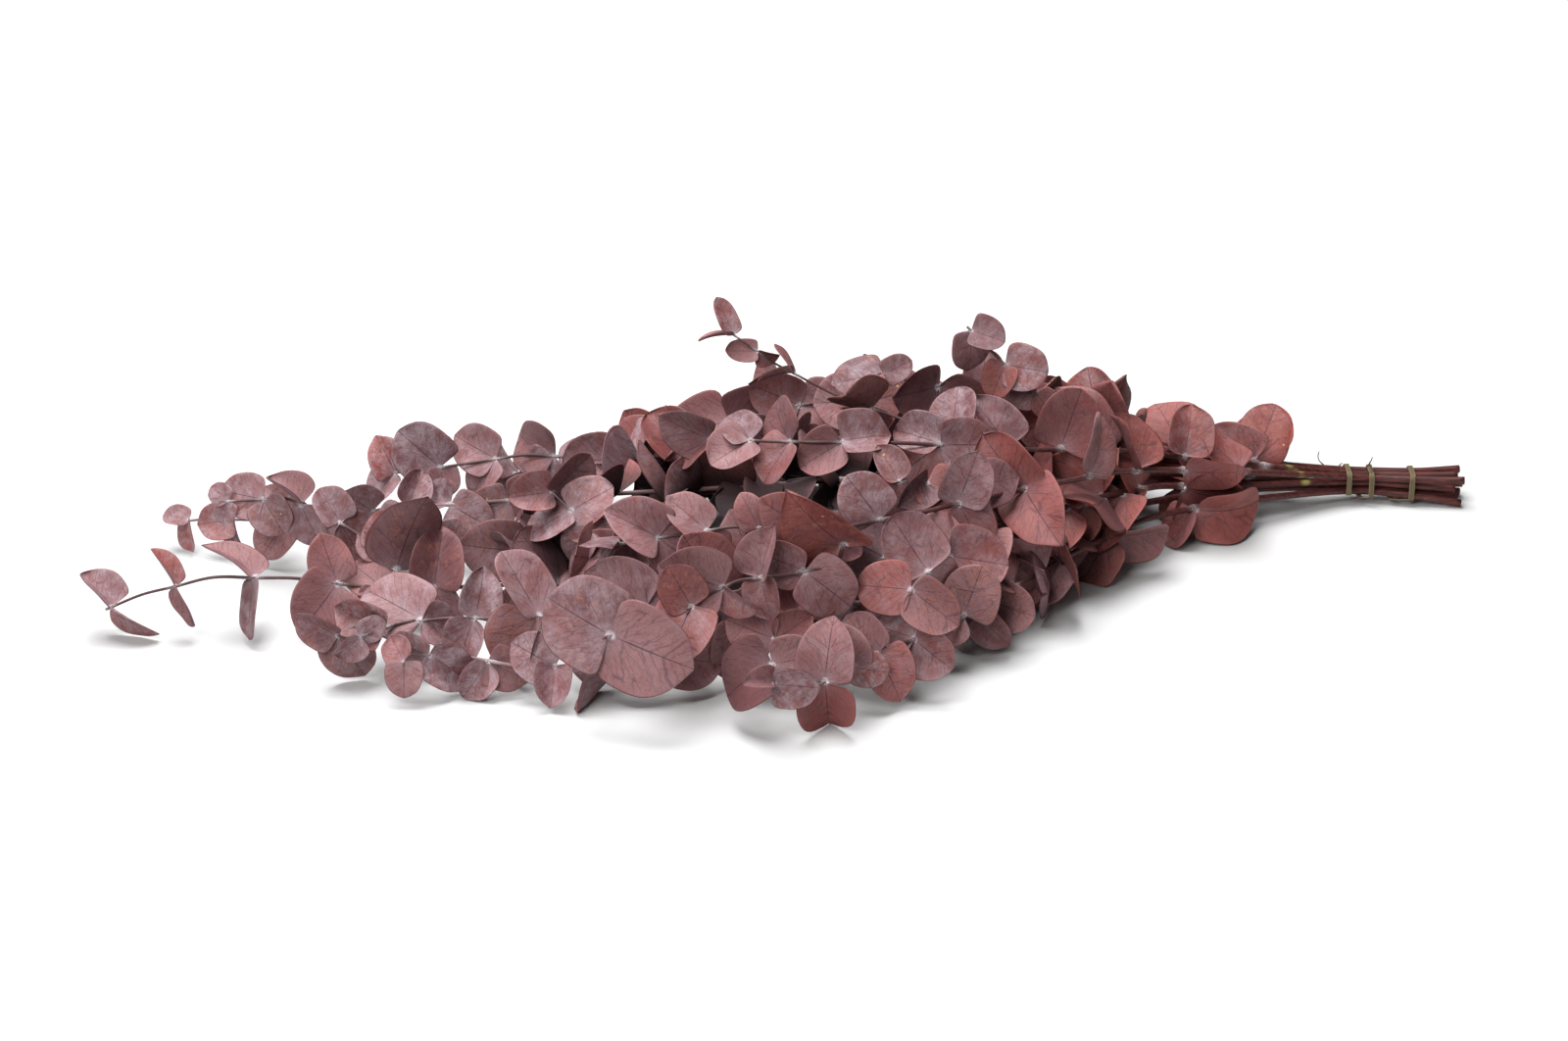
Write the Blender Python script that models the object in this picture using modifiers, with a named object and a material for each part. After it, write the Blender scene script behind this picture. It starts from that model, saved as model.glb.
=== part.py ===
"""Tied bunch of preserved silver dollar eucalyptus, lying on a surface.

Nine cut stems with their side shoots and opposite round leaves, held by one flat tie.
X runs along the bunch towards the cut ends, the viewer is on the -Y side, and Z is up.
Sizes in this file are millimetres, and MM turns them into Blender's metres.
"""

import math
import random
from dataclasses import dataclass

import bmesh
import bpy
from mathutils import Matrix, Quaternion, Vector
from mathutils.bvhtree import BVHTree

MM = 0.001
# From the frame in which the routes are written to the middle of the bunch's outline
CENTRE_SHIFT = Vector((6.8, 23.9, 0.0))

# The bundle at the tie: slots for the stems, three rows of three
STEM_RADIUS = 2.1
STEM_PITCH = 4.7
ROW_RISE = 4.1
BUNDLE_ALONG = Vector((0.968, -0.25, 0.0))
BUNDLE_ACROSS = Vector((0.25, 0.968, 0.0))
# Stations along the bundle: centre of the slots and how far they have spread
CUT_STATION = (Vector((351.0, 0.0, 8.9)), 1.6)
TIE_STATIONS = ((Vector((327.0, 6.0, 10.4)), 1.12), (Vector((291.0, 15.3, 12.2)), 1.0))
CUT_LENGTHS = (0.0, -3.0, 1.0, -1.0, 2.0, -2.0, 1.5, -1.5, 0.5)

# The tie
TIE_WIDTH = 3.0
TIE_THICKNESS = 0.8
TIE_GAP = 0.35
TIE_POINTS_A_TURN = 14
TIE_TURNS = 3
TIE_START = math.radians(205)

# Leaves
BLADE_THICKNESS = 0.7
# Angles of the rim's corners from the root to the tip, in degrees, for a large and a small leaf
LARGE_RIM = (0, 62, 100, 140, 180)
SMALL_RIM = (0, 70, 124, 180)
# Leaves up to this length have the small rim, and so do all leaves placed by the rule alone
SMALL_LEAF = 30.0
BLADE_EGG = 0.16
CENTRE_AT = 0.45
# How deep a leaf's root lies under its stem's surface
ROOT_DEPTH = 0.7
CLEARANCE = 0.3
# Leaves may be pressed against the surface by this much
PRESS_DEPTH = 8.0
# A blade leaning more than this is pressed on its edge, not on its face
FLAT_LEAN = 0.45
TRIES = 48
# Faces this close to one plane are one face after the union
FLAT_ANGLE = 0.001
# The core of the heap, which leaves turn their faces away from
CORE_TIE = Vector((300.0, 12.0, 10.0))
CORE_TIP = Vector((-250.0, 10.0, 8.0))
TURN_SHARE = 0.62
# Where the viewer of the heap stands, as compass bearing and height in degrees
VIEW_BEARING = math.radians(-14)
VIEW_HEIGHT = math.radians(25)
# Smooth routes are read at this step, and the tube has rings about this far apart where it is bare
ROUTE_STEP = 2.0
BARE_STEP = 42.0
# A ring is left out where the shoot is this straight
STRAIGHT = 1.2
RING_OFFSET = 7.0
TIP_STUB = 3.0


@dataclass
class Shoot:
    """A stem or side shoot: the route of its axis and the rule for its leaf pairs."""

    name: str
    route: tuple
    leaves_from: float = 12.0
    internode: tuple = (38.0, 30.0)
    leaf: tuple = (38.0, 16.0)
    splay: tuple = (60.0, 65.0)
    roll: float = 20.0
    parent: str = ""
    node: tuple = ()
    tip_radius: float = 0.65
    base_radius: float = STEM_RADIUS


@dataclass
class LeafyStem:
    """One cut stem: its slot in the bundle, its main axis and its side shoots."""

    name: str
    slot: tuple
    colour: tuple
    main: Shoot
    sides: tuple = ()


# The nine stems. A route runs from the tie to the tip, and a place on it may carry a leaf pair:
# (x, y, z) or (x, y, z, leaf, leaf), with a leaf as (clock angle, length, lean, turn, width ratio)
STEMS = (
    LeafyStem(
        "stem_front_low", (-1.0, -1.0), (0.24, 0.085, 0.085),
        Shoot(
            "front_low",
            ((197, -11, 19, (95, 38, -5, 35), (215, 26, 0, 60)),
             (142, -38, 21, (85, 30, 0, 50), (215, 34, 0, 40)), (78, -90, 26),
             (42, -119, 27, (20, 26), (240, 24)),
             (13, -137, 26, (130, 24), (290, 22, -10, 25)),
             (-9, -144, 25, (320, 24), (150, 24)),
             (-25, -154, 25, (100, 18), (350, 20)),
             (-40, -167, 26, (5, 29), (175, 27))),
            leaves_from=130.0, internode=(47.0, 40.0), leaf=(38.0, 34.0), splay=(40.0, 60.0), roll=65.0,
            tip_radius=0.8,
        ),
        (
            Shoot("front_low_fan",
                  ((2, -104, 33), (-44, -107, 34, (290, 24), (60, 24)),
                   (-54, -132, 32, (290, 25), (60, 20, 0, 20)),
                   (-63, -155, 31, (80, 24), (240, 30)),
                   (-66, -173, 31, (275, 14, 20, 40), (95, 21, 0, 20))),
                  parent="front_low", node=(42, -119, 27), base_radius=1.1, tip_radius=0.7),
            Shoot("front_low_thin",
                  ((126, -50, 21), (100, -55, 18, (300, 26), (110, 22)), (82, -67, 17, (250, 24), (60, 20))),
                  parent="front_low", node=(142, -38, 21), base_radius=0.9, tip_radius=0.6),
            Shoot("front_low_edge",
                  ((66, -91, 21, (110, 24), (250, 22)), (54, -105, 19, (140, 20), (270, 20))),
                  parent="front_low", node=(78, -90, 26), base_radius=0.9, tip_radius=0.6),
        ),
    ),
    LeafyStem(
        "stem_front_left", (-0.5, 0.0), (0.26, 0.10, 0.10),
        Shoot(
            "front_left",
            ((217, 3, 22, (262, 34, 8, 40), (75, 22, 0, 60)),
             (193, -5, 29, (98, 36, 5, 50), (235, 34, 0, 45)),
             (165, -18, 36, (205, 30, 0, 40), (320, 28, 0, 55)),
             (130, -38, 42, (200, 36, 0, 30), (290, 32, 0, 50)), (70, -70, 48),
             (20, -88, 48), (-40, -100, 46), (-94, -103, 43),
             (-159, -82, 32, (325, 36, 0, 45), (205, 32, 0, 40)),
             (-188, -69, 30, (15, 24), (200, 26, 0, 25)),
             (-213, -63, 28, (300, 34), (110, 20))),
            leaves_from=140.0, internode=(47.0, 44.0), leaf=(38.0, 32.0), splay=(40.0, 65.0), roll=15.0,
        ),
        (
            Shoot("fan",
                  ((52, -88, 51), (38, -102, 51, (100, 30), (340, 24)), (23, -116, 51, (325, 32), (140, 32)),
                   (11, -133, 51, (275, 27), (130, 29))),
                  parent="front_left", node=(70, -70, 48), base_radius=1.2, tip_radius=0.8),
            Shoot("hero",
                  ((-114, -113, 48, (300, 32), (75, 26)),
                   (-137, -145, 51, (300, 33, 5, 0, 1.35), (112, 40, 8, 0, 1.12))),
                  parent="front_left", node=(-94, -103, 43), base_radius=1.3, tip_radius=0.9),
            Shoot("front_edge",
                  ((-66, -112, 31, (190, 28), (60, 28)), (-104, -113, 20, (250, 28), (100, 28)),
                   (-157, -108, 18, (290, 24), (185, 20)), (-186, -92, 17, (230, 24), (110, 24)),
                   (-214, -77, 19, (290, 20), (118, 25)), (-226, -92, 22, (330, 14), (180, 17))),
                  parent="front_left", node=(-40, -100, 46), base_radius=1.2),
            Shoot("left_fan",
                  ((-232, -66, 28, (290, 26), (160, 25, 0, 30)), (-245, -78, 29, (225, 18), (60, 14)),
                   (-253, -61, 24, (150, 24), (300, 22))),
                  parent="front_left", node=(-213, -63, 28), base_radius=0.85, tip_radius=0.6),
        ),
    ),
    LeafyStem(
        "stem_front_top", (-1.0, 1.0), (0.28, 0.11, 0.105),
        Shoot(
            "front_top",
            ((226, -2, 32, (262, 36, 5, 45), (310, 30, 0, 40)),
             (190, -12, 41, (95, 32, 0, 60), (250, 34, 0, 30)),
             (160, -24, 49, (340, 30, 0, 50), (235, 32, 0, 30)),
             (130, -38, 56, (25, 30, 0, 45), (225, 34, 0, 30)), (90, -58, 62),
             (50, -80, 68, (20, 28), (160, 28)),
             (6, -96, 71, (320, 28), (130, 26)),
             (-30, -100, 72, (275, 28), (112, 27)), (-53, -92, 73, (160, 24, 0, 50), (330, 18)),
             (-78, -87, 72, (170, 22), (312, 24, 0, 35)), (-101, -83, 70, (300, 28), (125, 24)),
             (-119, -82, 67, (275, 19, 0, 70), (215, 19, 0, 60))),
            leaves_from=125.0, internode=(49.0, 39.0), leaf=(40.0, 28.0), splay=(35.0, 60.0), roll=40.0,
        ),
        (
            Shoot("top_side",
                  ((-16, -116, 64), (-38, -123, 61, (120, 32), (292, 24)),
                   (-59, -120, 60, (10, 24), (170, 21, 0, 55)),
                   (-80, -125, 60, (130, 20, 0, 60), (285, 32)), (-97, -139, 58, (205, 27), (330, 22))),
                  parent="front_top", node=(6, -96, 71), base_radius=1.2, tip_radius=0.75),
            Shoot("top_fan",
                  ((62, -60, 66, (80, 24), (200, 22)), (40, -56, 70, (120, 26), (230, 20)),
                   (26, -56, 72, (200, 24), (330, 20))),
                  parent="front_top", node=(90, -58, 64), base_radius=1.0, tip_radius=0.7),
        ),
    ),
    LeafyStem(
        "stem_far_left", (0.0, -1.0), (0.25, 0.095, 0.10),
        Shoot(
            "far_left",
            ((205, 5, 19, (120, 28, 0, 50), (240, 26, 0, 50)),
             (129, -14, 20, (250, 38, 0, 40), (120, 32, 0, 50)),
             (72, -30, 24),
             (-8, -46, 26), (-79, -44, 26),
             (-157, -22, 22, (20, 24), (220, 22)), (-200, -19, 22, (8, 30), (150, 22)),
             (-225, -11, 22, (310, 24), (200, 18)), (-246, -7, 25, (340, 25), (215, 30)),
             (-286, -6, 34, (318, 29, 0, 62, 0.8), (188, 29, 0, 66, 0.8)),
             (-324, 6, 28, (330, 22, 0, 66, 0.75), (150, 21, 0, 70, 0.75)),
             (-355, 14, 15, (318, 22, 0, 50, 1.1), (124, 26, 3, 66, 0.75))),
            leaves_from=170.0, internode=(57.0, 47.0), leaf=(34.0, 28.0), roll=0.0,
        ),
        (
            Shoot("curl",
                  ((-222, 5, 35, (300, 14), (20, 22)), (-239, 34, 38, (150, 26), (330, 20)),
                   (-253, 56, 42, (160, 26), (317, 22, 0, 40)), (-273, 61, 44, (280, 25), (150, 20)),
                   (-290, 66, 42, (310, 13), (200, 13))),
                  parent="far_left", node=(-200, -19, 22), base_radius=1.0),
            Shoot("left_low",
                  ((-118, -14, 27, (200, 24), (20, 24)), (-153, 4, 29, (275, 29), (100, 20)),
                   (-190, 26, 18, (230, 18), (30, 20)), (-226, 42, 13, (290, 16), (160, 14))),
                  parent="far_left", node=(-79, -44, 26), base_radius=0.9),
            Shoot("upright",
                  ((-106, -56, 40), (-122, -28, 50, (60, 20), (220, 22)),
                   (-131, -19, 57, (60, 24), (245, 25, 0, 55)),
                   (-138, -8, 63, (262, 22), (40, 26, 0, 60))),
                  parent="far_left", node=(-79, -44, 26), base_radius=0.8, tip_radius=0.5),
        ),
    ),
    LeafyStem(
        "stem_left_middle", (0.5, 0.0), (0.27, 0.10, 0.11),
        Shoot(
            "left_middle",
            ((212, 12, 26, (225, 34, 0, 35), (335, 32, 0, 35)),
             (140, 8, 38, (285, 38, 0, 30), (185, 34, 0, 30)),
             (87, 5, 43), (20, 8, 46), (-64, 21, 43), (-110, 34, 40),
             (-151, 45, 36, (250, 24), (70, 24)), (-181, 46, 36, (275, 26), (120, 24)),
             (-201, 56, 34, (20, 20), (210, 22)), (-218, 63, 30, (310, 20), (150, 24)),
             (-241, 67, 25, (120, 22), (300, 20)), (-262, 75, 24, (330, 22), (215, 22)),
             (-286, 93, 20, (262, 18), (170, 17, 0, 50)),
             (-308, 104, 16, (285, 14, 0, 40), (175, 16, 0, 60))),
            leaves_from=120.0, internode=(44.0, 40.0), leaf=(40.0, 26.0), roll=10.0,
        ),
    ),
    LeafyStem(
        "stem_back_left", (1.5, 0.0), (0.26, 0.10, 0.115),
        Shoot(
            "back_left",
            ((210, 25, 27, (275, 36, 0, 30), (40, 30, 0, 45)), (130, 34, 42, (15, 36, 0, 30), (210, 38)),
             (70, 42, 48), (-7, 50, 50), (-57, 54, 48, (320, 30), (140, 26)),
             (-93, 58, 46, (265, 28), (235, 30, 0, 50)), (-121, 75, 46, (295, 28), (215, 24)),
             (-150, 86, 42, (298, 28), (222, 25, 0, 45)), (-179, 89, 38, (311, 29), (170, 16)),
             (-201, 98, 34, (335, 20), (220, 21, 0, 40))),
            leaves_from=120.0, internode=(52.0, 46.0), leaf=(40.0, 34.0), splay=(45.0, 60.0), roll=5.0,
        ),
        (
            Shoot("back_left_side", ((-40, 76, 42), (-90, 96, 32), (-140, 108, 22)),
                  parent="back_left", node=(-7, 50, 56), internode=(42.0, 34.0), leaf=(34.0, 20.0),
                  roll=30.0, base_radius=1.2),
        ),
    ),
    LeafyStem(
        "stem_back_low", (1.0, -1.0), (0.25, 0.09, 0.095),
        Shoot(
            "back_low",
            ((216, 24, 16, (300, 34, 0, 35), (200, 28, 0, 45)), (140, 52, 20, (10, 38), (250, 36)),
             (75, 76, 23), (15, 92, 23), (-45, 106, 19), (-100, 116, 14)),
            leaves_from=140.0, internode=(47.0, 42.0), leaf=(42.0, 26.0), splay=(40.0, 65.0), roll=60.0,
        ),
        (
            Shoot("back_low_side", ((96, 84, 20), (60, 112, 15)),
                  parent="back_low", node=(140, 52, 20), internode=(42.0, 36.0), leaf=(34.0, 24.0),
                  roll=10.0, base_radius=1.1),
        ),
    ),
    LeafyStem(
        "stem_ridge", (0.0, 1.0), (0.29, 0.12, 0.12),
        Shoot(
            "ridge",
            ((228, 8, 31, (325, 32, 0, 30), (250, 28, 0, 50)),
             (196, 4, 41, (20, 30, 0, 35), (232, 34, 0, 25)),
             (152, -8, 55, (318, 42, 0, 50, 0.7), (235, 34)), (120, -24, 65, (20, 32), (215, 34)),
             (88, -36, 74, (330, 30), (200, 26)), (53, -37, 81, (90, 27), (290, 26)),
             (3, -34, 86, (80, 24), (240, 24)), (-22, -28, 86, (330, 26), (215, 24)),
             (-39, -14, 83, (240, 24), (320, 20)), (-55, 4, 78, (290, 27), (255, 25, 0, 50))),
            leaves_from=110.0, internode=(49.0, 39.0), leaf=(38.0, 32.0), splay=(35.0, 60.0), roll=75.0,
        ),
        (
            Shoot("sprig",
                  ((10, 0, 96), (-11, 9, 106, (320, 18, 0, 70, 0.6), (272, 18, 0, 75, 0.6)),
                   (-28, 14, 118, (270, 16, 0, 20, 0.8), (110, 12, 0, 40)),
                   (-39, 19, 126, (335, 21, 0, 25, 0.55), (272, 17, 0, 78, 0.6))),
                  parent="ridge", node=(53, -37, 81), base_radius=0.8, tip_radius=0.5),
        ),
    ),
    LeafyStem(
        "stem_back_top", (1.0, 1.0), (0.28, 0.11, 0.10),
        Shoot(
            "back_top",
            ((242, 20, 26, (22, 31, 0, 5), (300, 30, 0, 20)),
             (200, 22, 38, (345, 29, 0, 5, 1.45), (235, 32, 0, 30)),
             (140, 30, 53, (300, 36, 0, 30), (120, 34)), (80, 44, 64, (290, 32, 0, 20), (110, 30)),
             (40, 53, 67, (255, 32), (75, 32, 0, 20)), (5, 60, 68, (280, 32, 0, 15), (100, 30)),
             (-30, 69, 58, (255, 32, 0, 10), (70, 30)), (-64, 74, 46, (280, 28), (180, 24, 0, 30))),
            leaves_from=98.0, internode=(50.0, 44.0), leaf=(40.0, 30.0), roll=35.0,
        ),
        (
            Shoot("tall",
                  ((126, 0, 76), (111, -8, 88, (280, 19), (140, 17)), (96, -6, 107, (100, 22), (205, 18)),
                   (79, 1, 124, (180, 22), (110, 18))),
                  parent="back_top", node=(140, 30, 53), base_radius=1.0, tip_radius=0.6),
            Shoot("long_pair",
                  ((96, 18, 80), (64, 4, 93, (265, 30), (118, 30)), (34, 3, 104, (262, 26), (65, 16))),
                  parent="back_top", node=(140, 30, 53), base_radius=1.0, tip_radius=0.6),
            Shoot("back_drop", ((-10, 82, 48), (-48, 98, 32)),
                  parent="back_top", node=(5, 60, 68), leaves_from=30.0, internode=(42.0, 36.0),
                  leaf=(34.0, 26.0), roll=25.0, base_radius=1.1),
            Shoot("back_rise", ((50, 72, 58), (10, 92, 50)),
                  parent="back_top", node=(80, 44, 64), internode=(42.0, 36.0), leaf=(34.0, 26.0),
                  roll=60.0, base_radius=1.1),
        ),
    ),
)


def slot_point(slot, station, along=0.0):
    """Centre of a stem's slot at a station of the bundle."""
    centre, spread = station
    across, row = slot
    offset = BUNDLE_ACROSS * (across * STEM_PITCH * spread)
    rise = Vector((0.0, 0.0, row * ROW_RISE * spread))
    return centre + offset + rise + BUNDLE_ALONG * along


def smooth_route(points):
    """A dense Catmull-Rom curve through the points, with the distance run at each."""
    ends = [points[0] * 2 - points[1], *points, points[-1] * 2 - points[-2]]
    dense = []
    for before, start, end, after in zip(ends, ends[1:], ends[2:], ends[3:]):
        steps = max(2, round((end - start).length / ROUTE_STEP))
        for step in range(steps):
            t = step / steps
            dense.append(0.5 * (
                2 * start + (end - before) * t
                + (2 * before - 5 * start + 4 * end - after) * t ** 2
                + (3 * start - before - 3 * end + after) * t ** 3))
    dense.append(points[-1].copy())
    run = [0.0]
    for a, b in zip(dense, dense[1:]):
        run.append(run[-1] + (b - a).length)
    return dense, run


def along_route(dense, run, distance):
    """Point and direction at a distance along a dense route."""
    index = 0
    while index < len(run) - 2 and run[index + 1] < distance:
        index += 1
    share = (distance - run[index]) / (run[index + 1] - run[index])
    share = min(max(share, 0.0), 1.0)
    low, high = max(index - 3, 0), min(index + 4, len(dense) - 1)
    return dense[index].lerp(dense[index + 1], share), (dense[high] - dense[low]).normalized()


@dataclass
class Place:
    """A node of a shoot: its point, the shoot's direction and radius there, its share of the
    leafy length, and the two leaves that the route gives it, if any."""

    point: Vector
    direction: Vector
    radius: float
    leafy: float
    leaves: tuple = ()


class Axis:
    """A shoot's laid-out axis: tube points with radii, and the nodes where pairs grow.

    The tube's rings lie between the nodes, so a leaf's root sits on a plain stretch of stem.
    """

    def __init__(self, shoot, start_points):
        points = [Vector(p) for p in start_points] + [Vector(entry[:3]) for entry in shoot.route]
        dense, run = smooth_route(points)
        total = run[-1]
        given = {run[nearest(dense, Vector(entry[:3]))]: entry[3:] for entry in shoot.route if entry[3:]}
        bare = [run[nearest(dense, Vector(p))] for p in start_points]
        nodes = node_distances(shoot, sorted(given), bare[-1], total)
        gap = nodes[0] - bare[-1] - RING_OFFSET
        fills = max(1, round(gap / BARE_STEP))
        rings = bare + [bare[-1] + gap * k / fills for k in range(1, fills + 1)]
        rings += [(low + high) / 2.0 for low, high in zip(nodes, nodes[1:])]
        rings.append(nodes[-1] + TIP_STUB)
        rings = needed_rings(dense, run, rings, len(bare))
        self.tube = [(along_route(dense, run, at)[0], self.radius(shoot, at / total)) for at in rings]
        tip, heading = along_route(dense, run, nodes[-1])
        self.tube[-1] = (tip + heading * TIP_STUB, shoot.tip_radius)
        self.places = []
        for at in nodes:
            ring = next(k for k in range(len(rings) - 1) if rings[k + 1] > at)
            share = (at - rings[ring]) / (rings[ring + 1] - rings[ring])
            point = self.tube[ring][0].lerp(self.tube[ring + 1][0], share)
            heading = (self.tube[ring + 1][0] - self.tube[ring][0]).normalized()
            leafy = (at - nodes[0]) / max(1.0, nodes[-1] - nodes[0])
            radius = self.radius(shoot, at / total)
            self.places.append(Place(point, heading, radius, leafy, given.get(at, ())))

    @staticmethod
    def radius(shoot, share):
        """The stem's radius at a share of its length."""
        return shoot.base_radius + (shoot.tip_radius - shoot.base_radius) * share


def node_distances(shoot, given, start, total):
    """Distances of the leaf nodes: those given, and even steps where they lie far apart."""
    first = max(shoot.leaves_from, start + 10.0)
    stops = given + ([] if given and given[-1] > total - 8.0 else [total - TIP_STUB])
    if first < stops[0] - 12.0:
        stops = [first] + stops
    nodes = []
    for low, high in zip(stops, stops[1:]):
        step = shoot.internode[0] + (shoot.internode[1] - shoot.internode[0]) * low / total
        count = max(1, round((high - low) / step))
        nodes += [low + (high - low) * k / count for k in range(count)]
    return nodes + [stops[-1]]


def needed_rings(dense, run, rings, keep):
    """The rings without those on a straight stretch; the first ones are always kept."""
    kept = rings[:keep]
    for at, after in zip(rings[keep:], rings[keep + 1:]):
        start, middle, end = (along_route(dense, run, stop)[0] for stop in (kept[-1], at, after))
        chord = (end - start).normalized()
        if (middle - start).cross(chord).length > STRAIGHT:
            kept.append(at)
    return kept + rings[-1:]


def nearest(dense, point):
    """Index of the dense route's point nearest to a point."""
    return min(range(len(dense)), key=lambda i: (dense[i] - point).length_squared)


def lay_out(stem):
    """The axes of one stem, main first, each side shoot springing from its parent's axis."""
    start = [slot_point(stem.slot, CUT_STATION, CUT_LENGTHS[STEMS.index(stem)])]
    start += [slot_point(stem.slot, station) for station in TIE_STATIONS]
    axes = {stem.main.name: Axis(stem.main, start)}
    for side in stem.sides:
        tube = axes[side.parent].tube
        root = min((point for point, _ in tube), key=lambda point: (point - Vector(side.node)).length)
        axes[side.name] = Axis(side, [root])
    return axes


def view_frame():
    """The viewer's right, up and back directions."""
    back = Vector((math.sin(VIEW_BEARING) * math.cos(VIEW_HEIGHT),
                   -math.cos(VIEW_BEARING) * math.cos(VIEW_HEIGHT), math.sin(VIEW_HEIGHT)))
    right = Vector((math.cos(VIEW_BEARING), math.sin(VIEW_BEARING), 0.0))
    return right, back.cross(right), back


@dataclass
class Blade:
    """One leaf: where its midrib starts, which way it points, and how it is shaped."""

    base: Vector
    along: Vector
    face: Vector
    length: float
    width: float
    fold: float
    bend: float
    cup: float

    def point(self, t, side, lift=0.0):
        """A point of the blade at share t of its length and distance side from the midrib."""
        across = self.face.cross(self.along)
        x = self.length * t
        y = side * math.cos(self.fold)
        z = abs(side) * math.sin(self.fold) - self.bend * x * x / self.length
        z += self.cup * side * side / self.length + lift
        return self.base + self.along * x + across * y + self.face * z


def outline(blade, turn):
    """Share of length and distance from the midrib of the rim, by its angle from the root."""
    t = (1.0 - math.cos(turn)) / 2.0
    side = blade.width / 2.0 * math.sin(turn) * (1.0 + BLADE_EGG * math.cos(turn))
    return t, side


class Pattern:
    """A closed flat disc of few corners, from which a blade is laid out."""

    def __init__(self, rim):
        self.rim = [math.radians(turn) for turn in rim]
        self.mesh = bmesh.new()
        corners = 2 * len(rim) - 2
        bmesh.ops.create_circle(self.mesh, cap_ends=True, cap_tris=True, segments=corners, radius=1.0)
        bmesh.ops.solidify(self.mesh, geom=self.mesh.faces[:], thickness=1.0)
        bmesh.ops.triangulate(self.mesh, faces=self.mesh.faces[:])
        self.corners = [self.corner(vert.co) for vert in self.mesh.verts]
        self.faces = [[vert.index for vert in face.verts] for face in self.mesh.faces]
        outer = {index for index, (turn, _) in enumerate(self.corners)
                 if turn is None or abs(turn) > self.rim[1] + 0.01}
        self.outer_faces = [face for face in self.faces if set(face) <= outer]

    def corner(self, flat):
        """A corner's angle on the rim, None at the centre, and its level from -0.5 to 0.5."""
        level = flat.z + 0.5
        if Vector((flat.x, flat.y)).length < 0.5:
            return None, level
        angle = math.atan2(flat.x, -flat.y)
        step = round(abs(angle) / math.pi * (len(self.rim) - 1))
        return math.copysign(self.rim[step], angle), level

    def points(self, blade, thickness):
        """The corners laid onto a blade, pressed flat where it meets the surface."""
        placed = []
        for turn, level in self.corners:
            t, side = (CENTRE_AT, 0.0) if turn is None else outline(blade, turn)
            placed.append(pressed(blade.point(t, side), blade.face, level * thickness))
        return placed

    def lowest(self, blade):
        """Height of the blade's lowest rim corner before it is pressed."""
        return min(blade.point(*outline(blade, turn * sign)).z for turn in self.rim for sign in (-1, 1))

    def solid(self, blade, name):
        """The blade as a closed mesh in metres."""
        work = self.mesh.copy()
        for vert, point in zip(work.verts, self.points(blade, BLADE_THICKNESS)):
            vert.co = point * MM
        bmesh.ops.recalc_face_normals(work, faces=work.faces[:])
        mesh = bpy.data.meshes.new(name)
        work.to_mesh(mesh)
        work.free()
        return mesh


def pressed(middle, face, lift):
    """A point lifted off the blade's middle, kept on the surface where the blade meets it."""
    if middle.z > BLADE_THICKNESS * 0.5 * abs(face.z):
        return middle + face * lift
    if abs(face.z) > FLAT_LEAN:
        return Vector((middle.x, middle.y, BLADE_THICKNESS / 2.0 + (lift if face.z > 0.0 else -lift)))
    level = Vector((face.x, face.y, 0.0)).normalized() * lift
    return Vector((middle.x + level.x, middle.y + level.y, 0.0))


def stem_frame(direction):
    """Up and side directions square to a stem's direction."""
    up = Vector((0.0, 0.0, 1.0))
    if abs(direction.z) > 0.9:
        up = Vector((0.0, -1.0, 0.0))
    up = (up - direction * up.dot(direction)).normalized()
    return up, direction.cross(up)


def outward(point):
    """Direction away from the heap's core."""
    share = (point.x - CORE_TIP.x) / (CORE_TIE.x - CORE_TIP.x)
    core = CORE_TIP.lerp(CORE_TIE, min(max(share, 0.0), 1.0))
    away = point - core
    away.x = 0.25 * away.length * -1.0
    return away.normalized()


def turned(vector, axis, angle):
    """The vector turned about an axis."""
    return Quaternion(axis, angle) @ vector


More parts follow.
